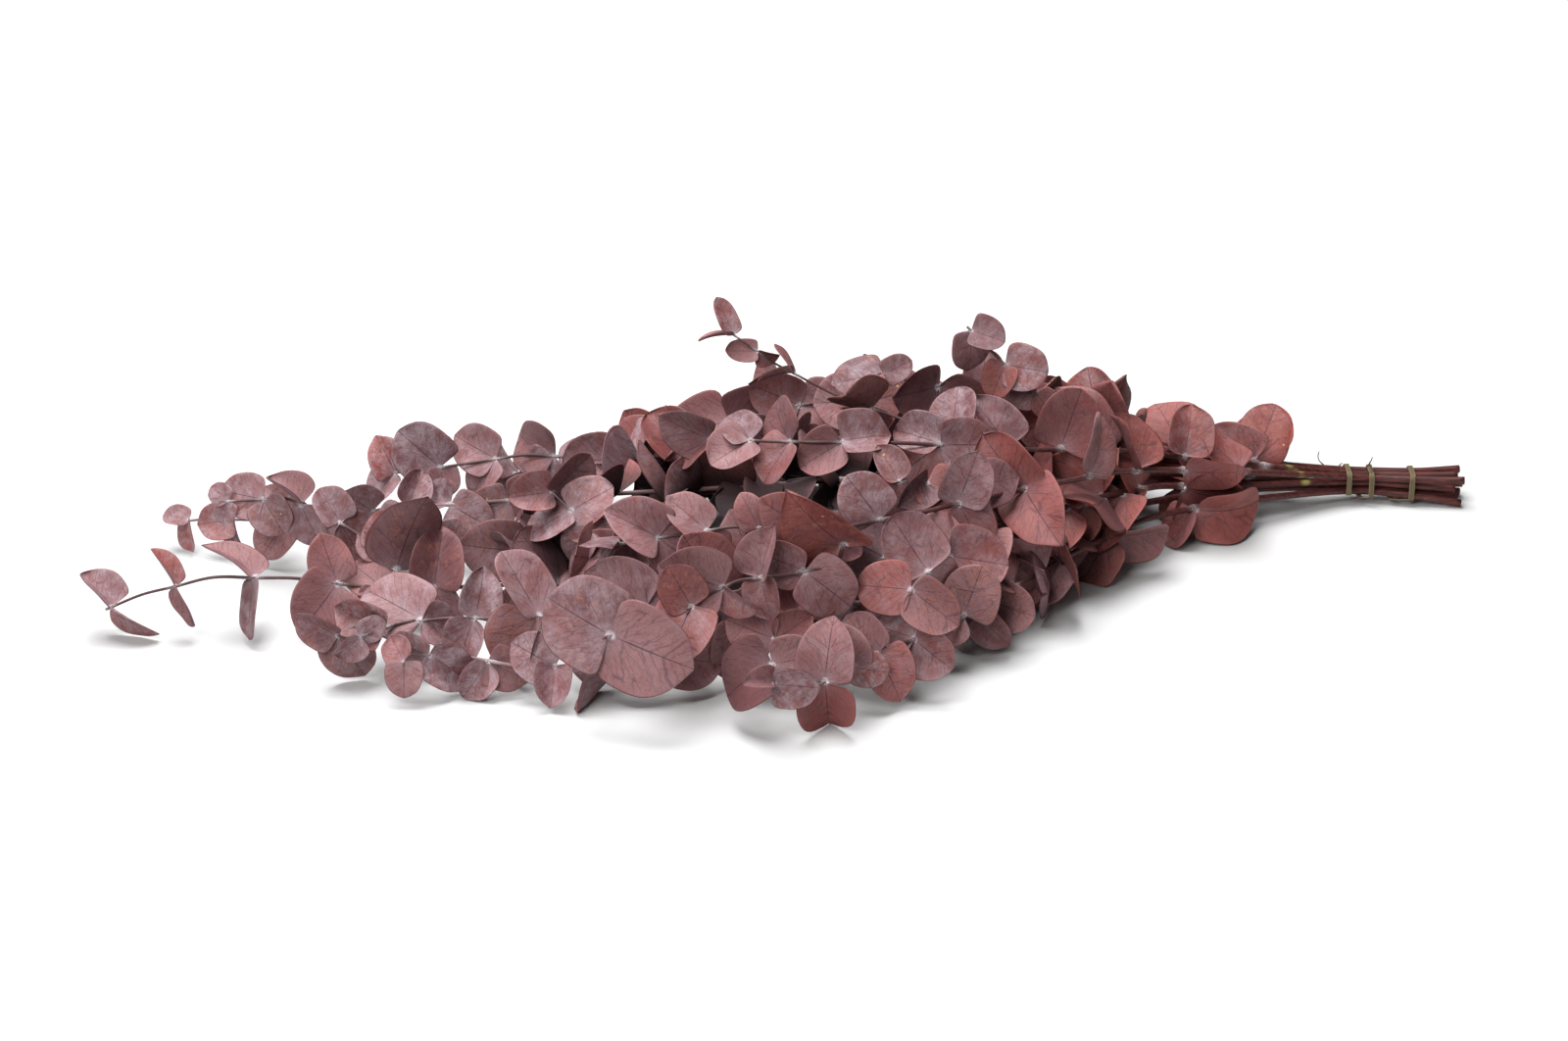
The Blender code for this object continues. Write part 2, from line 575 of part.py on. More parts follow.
def candidates(shoot, place, node, side):
    """The poses tried for one leaf, the wanted one first and then wider and wider of it."""
    rng = random.Random(f"{shoot.name}/{node}/{side}")
    length = (shoot.leaf[0] + (shoot.leaf[1] - shoot.leaf[0]) * place.leafy) * rng.uniform(0.88, 1.12)
    splay = shoot.splay[0] + (shoot.splay[1] - shoot.splay[0]) * place.leafy + rng.uniform(-12, 12)
    roll = shoot.roll + 90.0 * node + 180.0 * side + rng.uniform(-14, 14)
    fold = math.radians(rng.choice((4, 8, 8, 14, 22, 34)))
    bend = rng.uniform(-0.05, 0.28)
    cup = rng.uniform(-0.10, 0.30)
    ratio = rng.uniform(0.94, 1.14)
    turn_jitter = rng.uniform(-26, 26) * rng.choice((0.7, 1.0, 2.0))
    lean_jitter = rng.uniform(-26, 26)
    right, up_view, back = view_frame()
    for step in range(TRIES):
        reach = step / (TRIES - 1)
        swing = [rng.uniform(-1, 1) * reach for _ in range(4)]
        size = 1.0 - 0.3 * reach * rng.random()
        if place.leaves:
            clock, wanted_length, lean, turn, wanted_ratio = (*place.leaves[side], 0, 0, 0)[:5]
            ratio = wanted_ratio or ratio
            angle = math.radians(clock + 30 * swing[0])
            settled = 0.3 if lean or turn else 1.0
            lean = math.radians(lean + lean_jitter * settled + 35 * swing[1])
            flat = right * math.sin(angle) + up_view * math.cos(angle)
            along = flat * math.cos(lean) + back * math.sin(lean)
            face = (back - along * back.dot(along)).normalized()
            face = turned(face, along, math.radians(turn + turn_jitter * settled + 40 * swing[2]))
            reached = wanted_length * size
        else:
            up, across = stem_frame(place.direction)
            angle = math.radians(roll + 70 * swing[0])
            radial = up * math.cos(angle) + across * math.sin(angle)
            spread = math.radians(min(max(splay + 40 * swing[1], 15), 110))
            along = place.direction * math.cos(spread) + radial * math.sin(spread)
            face = place.direction * math.sin(spread) - radial * math.cos(spread)
            wanted = outward(place.point)
            wanted = (wanted - along * wanted.dot(along)).normalized()
            if wanted.dot(face) < 0.0:
                wanted = -wanted
            angle = math.atan2(along.dot(face.cross(wanted)), face.dot(wanted))
            face = turned(face, along, angle * TURN_SHARE + math.radians(turn_jitter + 60 * swing[2]))
            reached = length * size
        out = (along - place.direction * along.dot(place.direction)).normalized()
        yield Blade(
            base=place.point + out * max(0.0, place.radius - ROOT_DEPTH), along=along, face=face,
            length=reached, width=reached * ratio, fold=fold, bend=bend * (1 + swing[3]), cup=cup)


class Heap:
    """Everything placed so far, for the search of a clear pose for each leaf."""

    def __init__(self):
        self.things = []

    def add(self, key, points, faces):
        """Take a placed solid in, under a key that names its shoot and node."""
        self.things.append((key, self.bounds(points), BVHTree.FromPolygons(points, faces)))

    @staticmethod
    def bounds(points):
        """Lowest and highest corner of some points."""
        low = Vector(min(p[i] for p in points) for i in range(3))
        high = Vector(max(p[i] for p in points) for i in range(3))
        return low, high

    def clear(self, blade, pattern, rooted_on):
        """Whether a blade meets nothing, apart from its root on what it grows from."""
        if pattern.lowest(blade) < -PRESS_DEPTH:
            return False
        points = pattern.points(blade, BLADE_THICKNESS + 2 * CLEARANCE)
        low, high = self.bounds(points)
        whole = BVHTree.FromPolygons(points, pattern.faces)
        outer = BVHTree.FromPolygons(points, pattern.outer_faces)
        for key, (other_low, other_high), tree in self.things:
            if any(high[i] < other_low[i] or low[i] > other_high[i] for i in range(3)):
                continue
            probe = outer if key in rooted_on else whole
            if probe.overlap(tree):
                return False
        return True


def tube_mesh(axis, name, sides):
    """A tapering round tube along an axis, as a closed mesh in metres."""
    curve = bpy.data.curves.new(name, "CURVE")
    curve.dimensions = "3D"
    curve.bevel_depth = MM
    curve.bevel_resolution = sides
    curve.use_fill_caps = True
    spline = curve.splines.new("POLY")
    spline.points.add(len(axis.tube) - 1)
    for point, (place, radius) in zip(spline.points, axis.tube):
        point.co = (*(place * MM), 1.0)
        point.radius = radius
    guide = bpy.data.objects.new(name, curve)
    bpy.context.scene.collection.objects.link(guide)
    seen = guide.evaluated_get(bpy.context.evaluated_depsgraph_get())
    mesh = bpy.data.meshes.new_from_object(seen)
    mesh.name = name
    bpy.data.objects.remove(guide)
    work = bmesh.new()
    work.from_mesh(mesh)
    bmesh.ops.remove_doubles(work, verts=work.verts, dist=0.01 * MM)
    work.to_mesh(mesh)
    work.free()
    return mesh


def plain_material(name, colour, roughness):
    """A Principled material of one colour."""
    material = bpy.data.materials.new(name)
    material.use_nodes = True
    shader = material.node_tree.nodes["Principled BSDF"]
    shader.inputs["Base Color"].default_value = (*colour, 1.0)
    shader.inputs["Roughness"].default_value = roughness
    shader.inputs["Metallic"].default_value = 0.0
    return material


def place_leaves(axes_by_stem, tubes):
    """Each stem's blades as meshes, each in the first pose that is clear of all before it."""
    heap = Heap()
    large, small = Pattern(LARGE_RIM), Pattern(SMALL_RIM)
    for name, mesh in tubes.items():
        points = [vert.co / MM for vert in mesh.vertices]
        heap.add((name, -1), points, [list(face.vertices) for face in mesh.polygons])
    wanted = []
    for stem in STEMS:
        for shoot in (stem.main, *stem.sides):
            axis = axes_by_stem[stem.name][shoot.name]
            for node in reversed(range(len(axis.places))):
                for side in (0, 1):
                    rank = 0 if axis.places[node].leaves else 1
                    wanted.append((rank, stem, shoot, node, side))
    wanted.sort(key=lambda want: want[0])
    blades = {stem.name: [] for stem in STEMS}
    for _, stem, shoot, node, side in wanted:
        place = axes_by_stem[stem.name][shoot.name].places[node]
        rooted_on = {(shoot.name, -1), (shoot.name, node)}
        rooted_on |= {(other.name, -1) for other in stem.sides
                      if other.parent == shoot.name and (Vector(other.node) - place.point).length < 12.0}
        if node == 0 and shoot.parent:
            rooted_on.add((shoot.parent, -1))
        for blade in candidates(shoot, place, node, side):
            pattern = large if place.leaves and blade.length > SMALL_LEAF else small
            if heap.clear(blade, pattern, rooted_on):
                heap.add((shoot.name, node), pattern.points(blade, BLADE_THICKNESS), pattern.faces)
                blades[stem.name].append(pattern.solid(blade, f"{shoot.name}_{node}_{side}"))
                break
    return blades


def build_stem(stem, tubes, blades, parts, joined):
    """One stem with its side shoots and leaves, fused into one solid."""
    body = bpy.data.objects.new(stem.name, tubes[stem.main.name])
    body.data.name = stem.name
    body.data.materials.append(plain_material(stem.name, stem.colour, 0.7))
    parts.objects.link(body)
    grown = bpy.data.collections.new(f"{stem.name}_growth")
    joined.children.link(grown)
    for side in stem.sides:
        grown.objects.link(bpy.data.objects.new(side.name, tubes[side.name]))
    for blade in blades:
        grown.objects.link(bpy.data.objects.new(blade.name, blade))
    union = body.modifiers.new("growth", "BOOLEAN")
    union.operation = "UNION"
    union.operand_type = "COLLECTION"
    union.collection = grown
    union.solver = "EXACT"
    seen = body.evaluated_get(bpy.context.evaluated_depsgraph_get())
    body.data = bpy.data.meshes.new_from_object(seen)
    body.modifiers.clear()
    work = bmesh.new()
    work.from_mesh(body.data)
    bmesh.ops.dissolve_limit(work, angle_limit=FLAT_ANGLE, verts=work.verts, edges=work.edges)
    work.to_mesh(body.data)
    work.free()
    for thing in list(grown.objects):
        bpy.data.objects.remove(thing)
    bpy.data.collections.remove(grown)
    return body


def tie_path():
    """Centre line of the tie: taut round the stems, three turns from left to right."""
    left, right = TIE_STATIONS[1], TIE_STATIONS[0]
    reach = STEM_RADIUS + TIE_GAP + TIE_THICKNESS / 2.0
    path = []
    count = TIE_POINTS_A_TURN * TIE_TURNS
    for step in range(count + 1):
        turns = step / TIE_POINTS_A_TURN
        # The tie stays at its band for most of a turn and slides along over the top
        band = min(int(turns), TIE_TURNS - 1)
        slide = min(max((turns - band) * 3.0 - 2.0, 0.0), 1.0)
        bands = (0.06, 0.38, 0.96, 0.96)
        share = bands[band] + (bands[band + 1] - bands[band]) * slide
        angle = TIE_START - math.tau * turns
        outwards = BUNDLE_ACROSS * math.cos(angle) + Vector((0.0, 0.0, math.sin(angle)))
        centres = [slot_point(stem.slot, left).lerp(slot_point(stem.slot, right), share) for stem in STEMS]
        furthest = max(centres, key=lambda centre: centre.dot(outwards))
        path.append((furthest + outwards * reach, outwards))
    return path


def build_tie(parts):
    """The flat tie: an edge swept round the bundle, given its thickness by Solidify."""
    path = tie_path()
    work = bmesh.new()
    half = BUNDLE_ALONG * (TIE_WIDTH / 2.0)
    start, _ = path[0]
    ends = [work.verts.new((start + half * sign) * MM) for sign in (-1, 1)]
    edge = work.edges.new(ends)
    for point, _ in path[1:]:
        grown = bmesh.ops.extrude_edge_only(work, edges=[edge])["geom"]
        edge = next(item for item in grown if isinstance(item, bmesh.types.BMEdge))
        old = sum((vert.co for vert in edge.verts), Vector()) / 2.0
        bmesh.ops.translate(work, verts=list(edge.verts), vec=point * MM - old)
    bmesh.ops.triangulate(work, faces=work.faces[:])
    bmesh.ops.recalc_face_normals(work, faces=work.faces[:])
    mesh = bpy.data.meshes.new("binding_tie")
    work.to_mesh(mesh)
    work.free()
    tie = bpy.data.objects.new("binding_tie", mesh)
    parts.objects.link(tie)
    tie.data.materials.append(plain_material("binding_tie", (0.22, 0.19, 0.085), 0.6))
    wall = tie.modifiers.new("thickness", "SOLIDIFY")
    wall.thickness = TIE_THICKNESS * MM
    wall.offset = 0.0
    return tie


def main():
    """Clear the scene and build the bunch."""
    for thing in list(bpy.data.objects):
        bpy.data.objects.remove(thing)
    parts = bpy.data.collections.new("eucalyptus_bunch")
    joined = bpy.data.collections.new("growth")
    bpy.context.scene.collection.children.link(parts)
    bpy.context.scene.collection.children.link(joined)
    axes_by_stem = {stem.name: lay_out(stem) for stem in STEMS}
    tubes = {}
    for stem in STEMS:
        for name, axis in axes_by_stem[stem.name].items():
            tubes[name] = tube_mesh(axis, name, 1 if name == stem.main.name else 0)
    blades = place_leaves(axes_by_stem, tubes)
    for stem in STEMS:
        build_stem(stem, tubes, blades[stem.name], parts, joined)
    build_tie(parts)
    for thing in parts.objects:
        thing.data.transform(Matrix.Translation(CENTRE_SHIFT * MM))


main()
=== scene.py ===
"""Looks of a tied bunch of preserved silver dollar eucalyptus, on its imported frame.

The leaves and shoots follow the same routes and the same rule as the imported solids. Each leaf's
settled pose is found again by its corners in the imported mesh, and gets a finer blade there.
Sizes are in millimetres until row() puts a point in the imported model's frame, in metres.
"""
import logging
import math
import random
from collections.abc import Iterator
from dataclasses import dataclass
from enum import Enum, IntEnum
from functools import reduce

import bmesh
import bpy
from mathutils import Matrix, Quaternion, Vector
from mathutils.kdtree import KDTree


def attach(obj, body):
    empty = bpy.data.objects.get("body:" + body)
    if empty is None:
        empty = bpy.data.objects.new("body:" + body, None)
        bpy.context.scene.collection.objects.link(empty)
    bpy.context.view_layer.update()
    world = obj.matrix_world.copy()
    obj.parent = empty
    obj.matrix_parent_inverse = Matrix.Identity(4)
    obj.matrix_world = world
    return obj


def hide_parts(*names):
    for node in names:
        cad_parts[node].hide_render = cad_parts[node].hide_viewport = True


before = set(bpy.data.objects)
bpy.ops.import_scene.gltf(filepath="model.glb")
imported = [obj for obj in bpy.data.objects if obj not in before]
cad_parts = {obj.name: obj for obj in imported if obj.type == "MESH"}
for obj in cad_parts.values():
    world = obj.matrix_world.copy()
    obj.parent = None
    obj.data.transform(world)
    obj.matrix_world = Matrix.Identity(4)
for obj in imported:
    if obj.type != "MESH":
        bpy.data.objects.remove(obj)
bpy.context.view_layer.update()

LOG = logging.getLogger("eucalyptus")

MM = 0.001
CENTRE_SHIFT = Vector((6.8, 23.9, 0.0))
BODY = "root"

# Leaves as the solids have them
BLADE_THICKNESS = 0.7
SMALL_LEAF = 30.0
BLADE_EGG = 0.16
ROOT_DEPTH = 0.7
FLAT_LEAN = 0.45
TRIES = 48
CORE_TIE = Vector((300.0, 12.0, 10.0))
CORE_TIP = Vector((-250.0, 10.0, 8.0))

# Where the looks change, along the bunch and away from its middle line
RIGHT_END = (60.0, 210.0)
LEFT_END = (-60.0, -180.0)
MIDDLE_LINE = -15.0
SIDE_REACH = 70.0

# Shoots as the solids have them
STEM_RADIUS = 2.1
ROUTE_STEP = 2.0
HEADING_SPAN = 3
BARE_STEP = 42.0
STRAIGHT = 1.2
RING_OFFSET = 7.0
TIP_STUB = 3.0
FIRST_NODE = 10.0
LAST_NODE = 8.0
NODE_ROOM = 12.0
UPRIGHT = 0.9


class Rim(Enum):
    """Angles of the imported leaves' rim corners from the root to the tip, in degrees."""

    LARGE = (0, 62, 100, 140, 180)
    SMALL = (0, 70, 124, 180)


class LeafSlot(IntEnum):
    """Material slots of a piece of leaves."""

    FACE = 0
    UNDER = 1
    BARK = 2


class WoodSlot(IntEnum):
    """Material slots of a piece of wood."""

    BARK = 0
    CUT = 1


@dataclass(frozen=True)
class Shoot:
    """A stem or side shoot: the route of its axis and the rule for its leaf pairs.

    A side shoot springs from its stem's main shoot, near its node.
    """

    name: str
    route: tuple
    leaves_from: float = 12.0
    internode: tuple = (38.0, 30.0)
    leaf: tuple = (38.0, 16.0)
    splay: tuple = (60.0, 65.0)
    roll: float = 20.0
    node: tuple = ()
    tip_radius: float = 0.65
    base_radius: float = STEM_RADIUS


@dataclass(frozen=True)
class LeafyStem:
    """One cut stem: its slot in the bundle, its main shoot and its side shoots."""

    name: str
    slot: tuple
    main: Shoot
    sides: tuple = ()


# The nine stems. A place on a route may carry a leaf pair: (x, y, z) or (x, y, z, leaf, leaf),
# with a leaf as (clock angle, length, lean, turn, width over length)
STEMS = (
    LeafyStem("stem_front_low", (-1.0, -1.0), Shoot(
        "front_low",
        ((197, -11, 19, (95, 38, -5, 35), (215, 26, 0, 60)),
         (142, -38, 21, (85, 30, 0, 50), (215, 34, 0, 40)), (78, -90, 26),
         (42, -119, 27, (20, 26), (240, 24)),
         (13, -137, 26, (130, 24), (290, 22, -10, 25)),
         (-9, -144, 25, (320, 24), (150, 24)),
         (-25, -154, 25, (100, 18), (350, 20)),
         (-40, -167, 26, (5, 29), (175, 27))),
        leaves_from=130.0, internode=(47.0, 40.0), leaf=(38.0, 34.0), splay=(40.0, 60.0), roll=65.0,
        tip_radius=0.8,
    ), (
        Shoot("front_low_fan",
              ((2, -104, 33), (-44, -107, 34, (290, 24), (60, 24)),
               (-54, -132, 32, (290, 25), (60, 20, 0, 20)),
               (-63, -155, 31, (80, 24), (240, 30)),
               (-66, -173, 31, (275, 14, 20, 40), (95, 21, 0, 20))),
              node=(42, -119, 27), base_radius=1.1, tip_radius=0.7),
        Shoot("front_low_thin",
              ((126, -50, 21), (100, -55, 18, (300, 26), (110, 22)), (82, -67, 17, (250, 24), (60, 20))),
              node=(142, -38, 21), base_radius=0.9, tip_radius=0.6),
        Shoot("front_low_edge",
              ((66, -91, 21, (110, 24), (250, 22)), (54, -105, 19, (140, 20), (270, 20))),
              node=(78, -90, 26), base_radius=0.9, tip_radius=0.6),
    )),
    LeafyStem("stem_front_left", (-0.5, 0.0), Shoot(
        "front_left",
        ((217, 3, 22, (262, 34, 8, 40), (75, 22, 0, 60)),
         (193, -5, 29, (98, 36, 5, 50), (235, 34, 0, 45)),
         (165, -18, 36, (205, 30, 0, 40), (320, 28, 0, 55)),
         (130, -38, 42, (200, 36, 0, 30), (290, 32, 0, 50)), (70, -70, 48),
         (20, -88, 48), (-40, -100, 46), (-94, -103, 43),
         (-159, -82, 32, (325, 36, 0, 45), (205, 32, 0, 40)),
         (-188, -69, 30, (15, 24), (200, 26, 0, 25)),
         (-213, -63, 28, (300, 34), (110, 20))),
        leaves_from=140.0, internode=(47.0, 44.0), leaf=(38.0, 32.0), splay=(40.0, 65.0), roll=15.0,
    ), (
        Shoot("fan",
              ((52, -88, 51), (38, -102, 51, (100, 30), (340, 24)), (23, -116, 51, (325, 32), (140, 32)),
               (11, -133, 51, (275, 27), (130, 29))),
              node=(70, -70, 48), base_radius=1.2, tip_radius=0.8),
        Shoot("hero",
              ((-114, -113, 48, (300, 32), (75, 26)),
               (-137, -145, 51, (300, 33, 5, 0, 1.35), (112, 40, 8, 0, 1.12))),
              node=(-94, -103, 43), base_radius=1.3, tip_radius=0.9),
        Shoot("front_edge",
              ((-66, -112, 31, (190, 28), (60, 28)), (-104, -113, 20, (250, 28), (100, 28)),
               (-157, -108, 18, (290, 24), (185, 20)), (-186, -92, 17, (230, 24), (110, 24)),
               (-214, -77, 19, (290, 20), (118, 25)), (-226, -92, 22, (330, 14), (180, 17))),
              node=(-40, -100, 46), base_radius=1.2),
        Shoot("left_fan",
              ((-232, -66, 28, (290, 26), (160, 25, 0, 30)), (-245, -78, 29, (225, 18), (60, 14)),
               (-253, -61, 24, (150, 24), (300, 22))),
              node=(-213, -63, 28), base_radius=0.85, tip_radius=0.6),
    )),
    LeafyStem("stem_front_top", (-1.0, 1.0), Shoot(
        "front_top",
        ((226, -2, 32, (262, 36, 5, 45), (310, 30, 0, 40)),
         (190, -12, 41, (95, 32, 0, 60), (250, 34, 0, 30)),
         (160, -24, 49, (340, 30, 0, 50), (235, 32, 0, 30)),
         (130, -38, 56, (25, 30, 0, 45), (225, 34, 0, 30)), (90, -58, 62),
         (50, -80, 68, (20, 28), (160, 28)),
         (6, -96, 71, (320, 28), (130, 26)),
         (-30, -100, 72, (275, 28), (112, 27)), (-53, -92, 73, (160, 24, 0, 50), (330, 18)),
         (-78, -87, 72, (170, 22), (312, 24, 0, 35)), (-101, -83, 70, (300, 28), (125, 24)),
         (-119, -82, 67, (275, 19, 0, 70), (215, 19, 0, 60))),
        leaves_from=125.0, internode=(49.0, 39.0), leaf=(40.0, 28.0), splay=(35.0, 60.0), roll=40.0,
    ), (
        Shoot("top_side",
              ((-16, -116, 64), (-38, -123, 61, (120, 32), (292, 24)),
               (-59, -120, 60, (10, 24), (170, 21, 0, 55)),
               (-80, -125, 60, (130, 20, 0, 60), (285, 32)), (-97, -139, 58, (205, 27), (330, 22))),
              node=(6, -96, 71), base_radius=1.2, tip_radius=0.75),
        Shoot("top_fan",
              ((62, -60, 66, (80, 24), (200, 22)), (40, -56, 70, (120, 26), (230, 20)),
               (26, -56, 72, (200, 24), (330, 20))),
              node=(90, -58, 64), base_radius=1.0, tip_radius=0.7),
    )),
    LeafyStem("stem_far_left", (0.0, -1.0), Shoot(
        "far_left",
        ((205, 5, 19, (120, 28, 0, 50), (240, 26, 0, 50)),
         (129, -14, 20, (250, 38, 0, 40), (120, 32, 0, 50)),
         (72, -30, 24),
         (-8, -46, 26), (-79, -44, 26),
         (-157, -22, 22, (20, 24), (220, 22)), (-200, -19, 22, (8, 30), (150, 22)),
         (-225, -11, 22, (310, 24), (200, 18)), (-246, -7, 25, (340, 25), (215, 30)),
         (-286, -6, 34, (318, 29, 0, 62, 0.8), (188, 29, 0, 66, 0.8)),
         (-324, 6, 28, (330, 22, 0, 66, 0.75), (150, 21, 0, 70, 0.75)),
         (-355, 14, 15, (318, 22, 0, 50, 1.1), (124, 26, 3, 66, 0.75))),
        leaves_from=170.0, internode=(57.0, 47.0), leaf=(34.0, 28.0), roll=0.0,
    ), (
        Shoot("curl",
              ((-222, 5, 35, (300, 14), (20, 22)), (-239, 34, 38, (150, 26), (330, 20)),
               (-253, 56, 42, (160, 26), (317, 22, 0, 40)), (-273, 61, 44, (280, 25), (150, 20)),
               (-290, 66, 42, (310, 13), (200, 13))),
              node=(-200, -19, 22), base_radius=1.0),
        Shoot("left_low",
              ((-118, -14, 27, (200, 24), (20, 24)), (-153, 4, 29, (275, 29), (100, 20)),
               (-190, 26, 18, (230, 18), (30, 20)), (-226, 42, 13, (290, 16), (160, 14))),
              node=(-79, -44, 26), base_radius=0.9),
        Shoot("upright",
              ((-106, -56, 40), (-122, -28, 50, (60, 20), (220, 22)),
               (-131, -19, 57, (60, 24), (245, 25, 0, 55)),
               (-138, -8, 63, (262, 22), (40, 26, 0, 60))),
              node=(-79, -44, 26), base_radius=0.8, tip_radius=0.5),
    )),
    LeafyStem("stem_left_middle", (0.5, 0.0), Shoot(
        "left_middle",
        ((212, 12, 26, (225, 34, 0, 35), (335, 32, 0, 35)),
         (140, 8, 38, (285, 38, 0, 30), (185, 34, 0, 30)),
         (87, 5, 43), (20, 8, 46), (-64, 21, 43), (-110, 34, 40),
         (-151, 45, 36, (250, 24), (70, 24)), (-181, 46, 36, (275, 26), (120, 24)),
         (-201, 56, 34, (20, 20), (210, 22)), (-218, 63, 30, (310, 20), (150, 24)),
         (-241, 67, 25, (120, 22), (300, 20)), (-262, 75, 24, (330, 22), (215, 22)),
         (-286, 93, 20, (262, 18), (170, 17, 0, 50)),
         (-308, 104, 16, (285, 14, 0, 40), (175, 16, 0, 60))),
        leaves_from=120.0, internode=(44.0, 40.0), leaf=(40.0, 26.0), roll=10.0,
    )),
    LeafyStem("stem_back_left", (1.5, 0.0), Shoot(
        "back_left",
        ((210, 25, 27, (275, 36, 0, 30), (40, 30, 0, 45)), (130, 34, 42, (15, 36, 0, 30), (210, 38)),
         (70, 42, 48), (-7, 50, 50), (-57, 54, 48, (320, 30), (140, 26)),
         (-93, 58, 46, (265, 28), (235, 30, 0, 50)), (-121, 75, 46, (295, 28), (215, 24)),
         (-150, 86, 42, (298, 28), (222, 25, 0, 45)), (-179, 89, 38, (311, 29), (170, 16)),
         (-201, 98, 34, (335, 20), (220, 21, 0, 40))),
        leaves_from=120.0, internode=(52.0, 46.0), leaf=(40.0, 34.0), splay=(45.0, 60.0), roll=5.0,
    ), (
        Shoot("back_left_side", ((-40, 76, 42), (-90, 96, 32), (-140, 108, 22)),
              node=(-7, 50, 56), internode=(42.0, 34.0), leaf=(34.0, 20.0),
              roll=30.0, base_radius=1.2),
    )),
    LeafyStem("stem_back_low", (1.0, -1.0), Shoot(
        "back_low",
        ((216, 24, 16, (300, 34, 0, 35), (200, 28, 0, 45)), (140, 52, 20, (10, 38), (250, 36)),
         (75, 76, 23), (15, 92, 23), (-45, 106, 19), (-100, 116, 14)),
        leaves_from=140.0, internode=(47.0, 42.0), leaf=(42.0, 26.0), splay=(40.0, 65.0), roll=60.0,
    ), (
        Shoot("back_low_side", ((96, 84, 20), (60, 112, 15)),
              node=(140, 52, 20), internode=(42.0, 36.0), leaf=(34.0, 24.0),
              roll=10.0, base_radius=1.1),
    )),
    LeafyStem("stem_ridge", (0.0, 1.0), Shoot(
        "ridge",
        ((228, 8, 31, (325, 32, 0, 30), (250, 28, 0, 50)),
         (196, 4, 41, (20, 30, 0, 35), (232, 34, 0, 25)),
         (152, -8, 55, (318, 42, 0, 50, 0.7), (235, 34)), (120, -24, 65, (20, 32), (215, 34)),
         (88, -36, 74, (330, 30), (200, 26)), (53, -37, 81, (90, 27), (290, 26)),
         (3, -34, 86, (80, 24), (240, 24)), (-22, -28, 86, (330, 26), (215, 24)),
         (-39, -14, 83, (240, 24), (320, 20)), (-55, 4, 78, (290, 27), (255, 25, 0, 50))),
        leaves_from=110.0, internode=(49.0, 39.0), leaf=(38.0, 32.0), splay=(35.0, 60.0), roll=75.0,
    ), (
        Shoot("sprig",
              ((10, 0, 96), (-11, 9, 106, (320, 18, 0, 70, 0.6), (272, 18, 0, 75, 0.6)),
               (-28, 14, 118, (270, 16, 0, 20, 0.8), (110, 12, 0, 40)),
               (-39, 19, 126, (335, 21, 0, 25, 0.55), (272, 17, 0, 78, 0.6))),
              node=(53, -37, 81), base_radius=0.8, tip_radius=0.5),
    )),
    LeafyStem("stem_back_top", (1.0, 1.0), Shoot(
        "back_top",
        ((242, 20, 26, (22, 31, 0, 5), (300, 30, 0, 20)),
         (200, 22, 38, (345, 29, 0, 5, 1.45), (235, 32, 0, 30)),
         (140, 30, 53, (300, 36, 0, 30), (120, 34)), (80, 44, 64, (290, 32, 0, 20), (110, 30)),
         (40, 53, 67, (255, 32), (75, 32, 0, 20)), (5, 60, 68, (280, 32, 0, 15), (100, 30)),
         (-30, 69, 58, (255, 32, 0, 10), (70, 30)), (-64, 74, 46, (280, 28), (180, 24, 0, 30))),
        leaves_from=98.0, internode=(50.0, 44.0), leaf=(40.0, 30.0), roll=35.0,
    ), (
        Shoot("tall",
              ((126, 0, 76), (111, -8, 88, (280, 19), (140, 17)), (96, -6, 107, (100, 22), (205, 18)),
               (79, 1, 124, (180, 22), (110, 18))),
              node=(140, 30, 53), base_radius=1.0, tip_radius=0.6),
        Shoot("long_pair",
              ((96, 18, 80), (64, 4, 93, (265, 30), (118, 30)), (34, 3, 104, (262, 26), (65, 16))),
              node=(140, 30, 53), base_radius=1.0, tip_radius=0.6),
        Shoot("back_drop", ((-10, 82, 48), (-48, 98, 32)),
              node=(5, 60, 68), leaves_from=30.0, internode=(42.0, 36.0),
              leaf=(34.0, 26.0), roll=25.0, base_radius=1.1),
        Shoot("back_rise", ((50, 72, 58), (10, 92, 50)),
              node=(80, 44, 64), internode=(42.0, 36.0), leaf=(34.0, 26.0),
              roll=60.0, base_radius=1.1),
    )),
)


def row(point: Vector) -> Vector:
    """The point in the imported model's frame, in metres."""
    return (point + CENTRE_SHIFT) * MM


def turned(vector: Vector, axis: Vector, angle: float) -> Vector:
    """The vector turned about an axis."""
    return Quaternion(axis, angle) @ vector


def unit(value: float) -> float:
    """The value kept from 0 to 1."""
    return min(max(value, 0.0), 1.0)


def way(ends: tuple, share: float) -> float:
    """The number at a share of the way between two ends."""
    return ends[0] + (ends[1] - ends[0]) * share


def share_of(value: float, start: float, end: float) -> float:
    """How far a value is on its way from start to end, kept from 0 to 1."""
    return unit((value - start) / (end - start))


def hump(value: float, middle: float, reach: float) -> float:
    """A smooth rise to 1 at a middle, gone at about twice its reach."""
    return math.exp(-((value - middle) / reach) ** 2)


def core_beside(point: Vector) -> Vector:
    """The point of the heap's core beside a point."""
    return CORE_TIP.lerp(CORE_TIE, share_of(point.x, CORE_TIP.x, CORE_TIE.x))


def stem_frame(direction: Vector) -> tuple[Vector, Vector]:
    """Finds directions square to a stem.

    Args:
        direction: The stem's direction.

    Returns:
        The one that points up most, and the one to its side.
    """
    up = Vector((0.0, 0.0, 1.0))
    if abs(direction.z) > UPRIGHT:
        up = Vector((0.0, -1.0, 0.0))
    up = (up - direction * up.dot(direction)).normalized()
    return up, direction.cross(up)


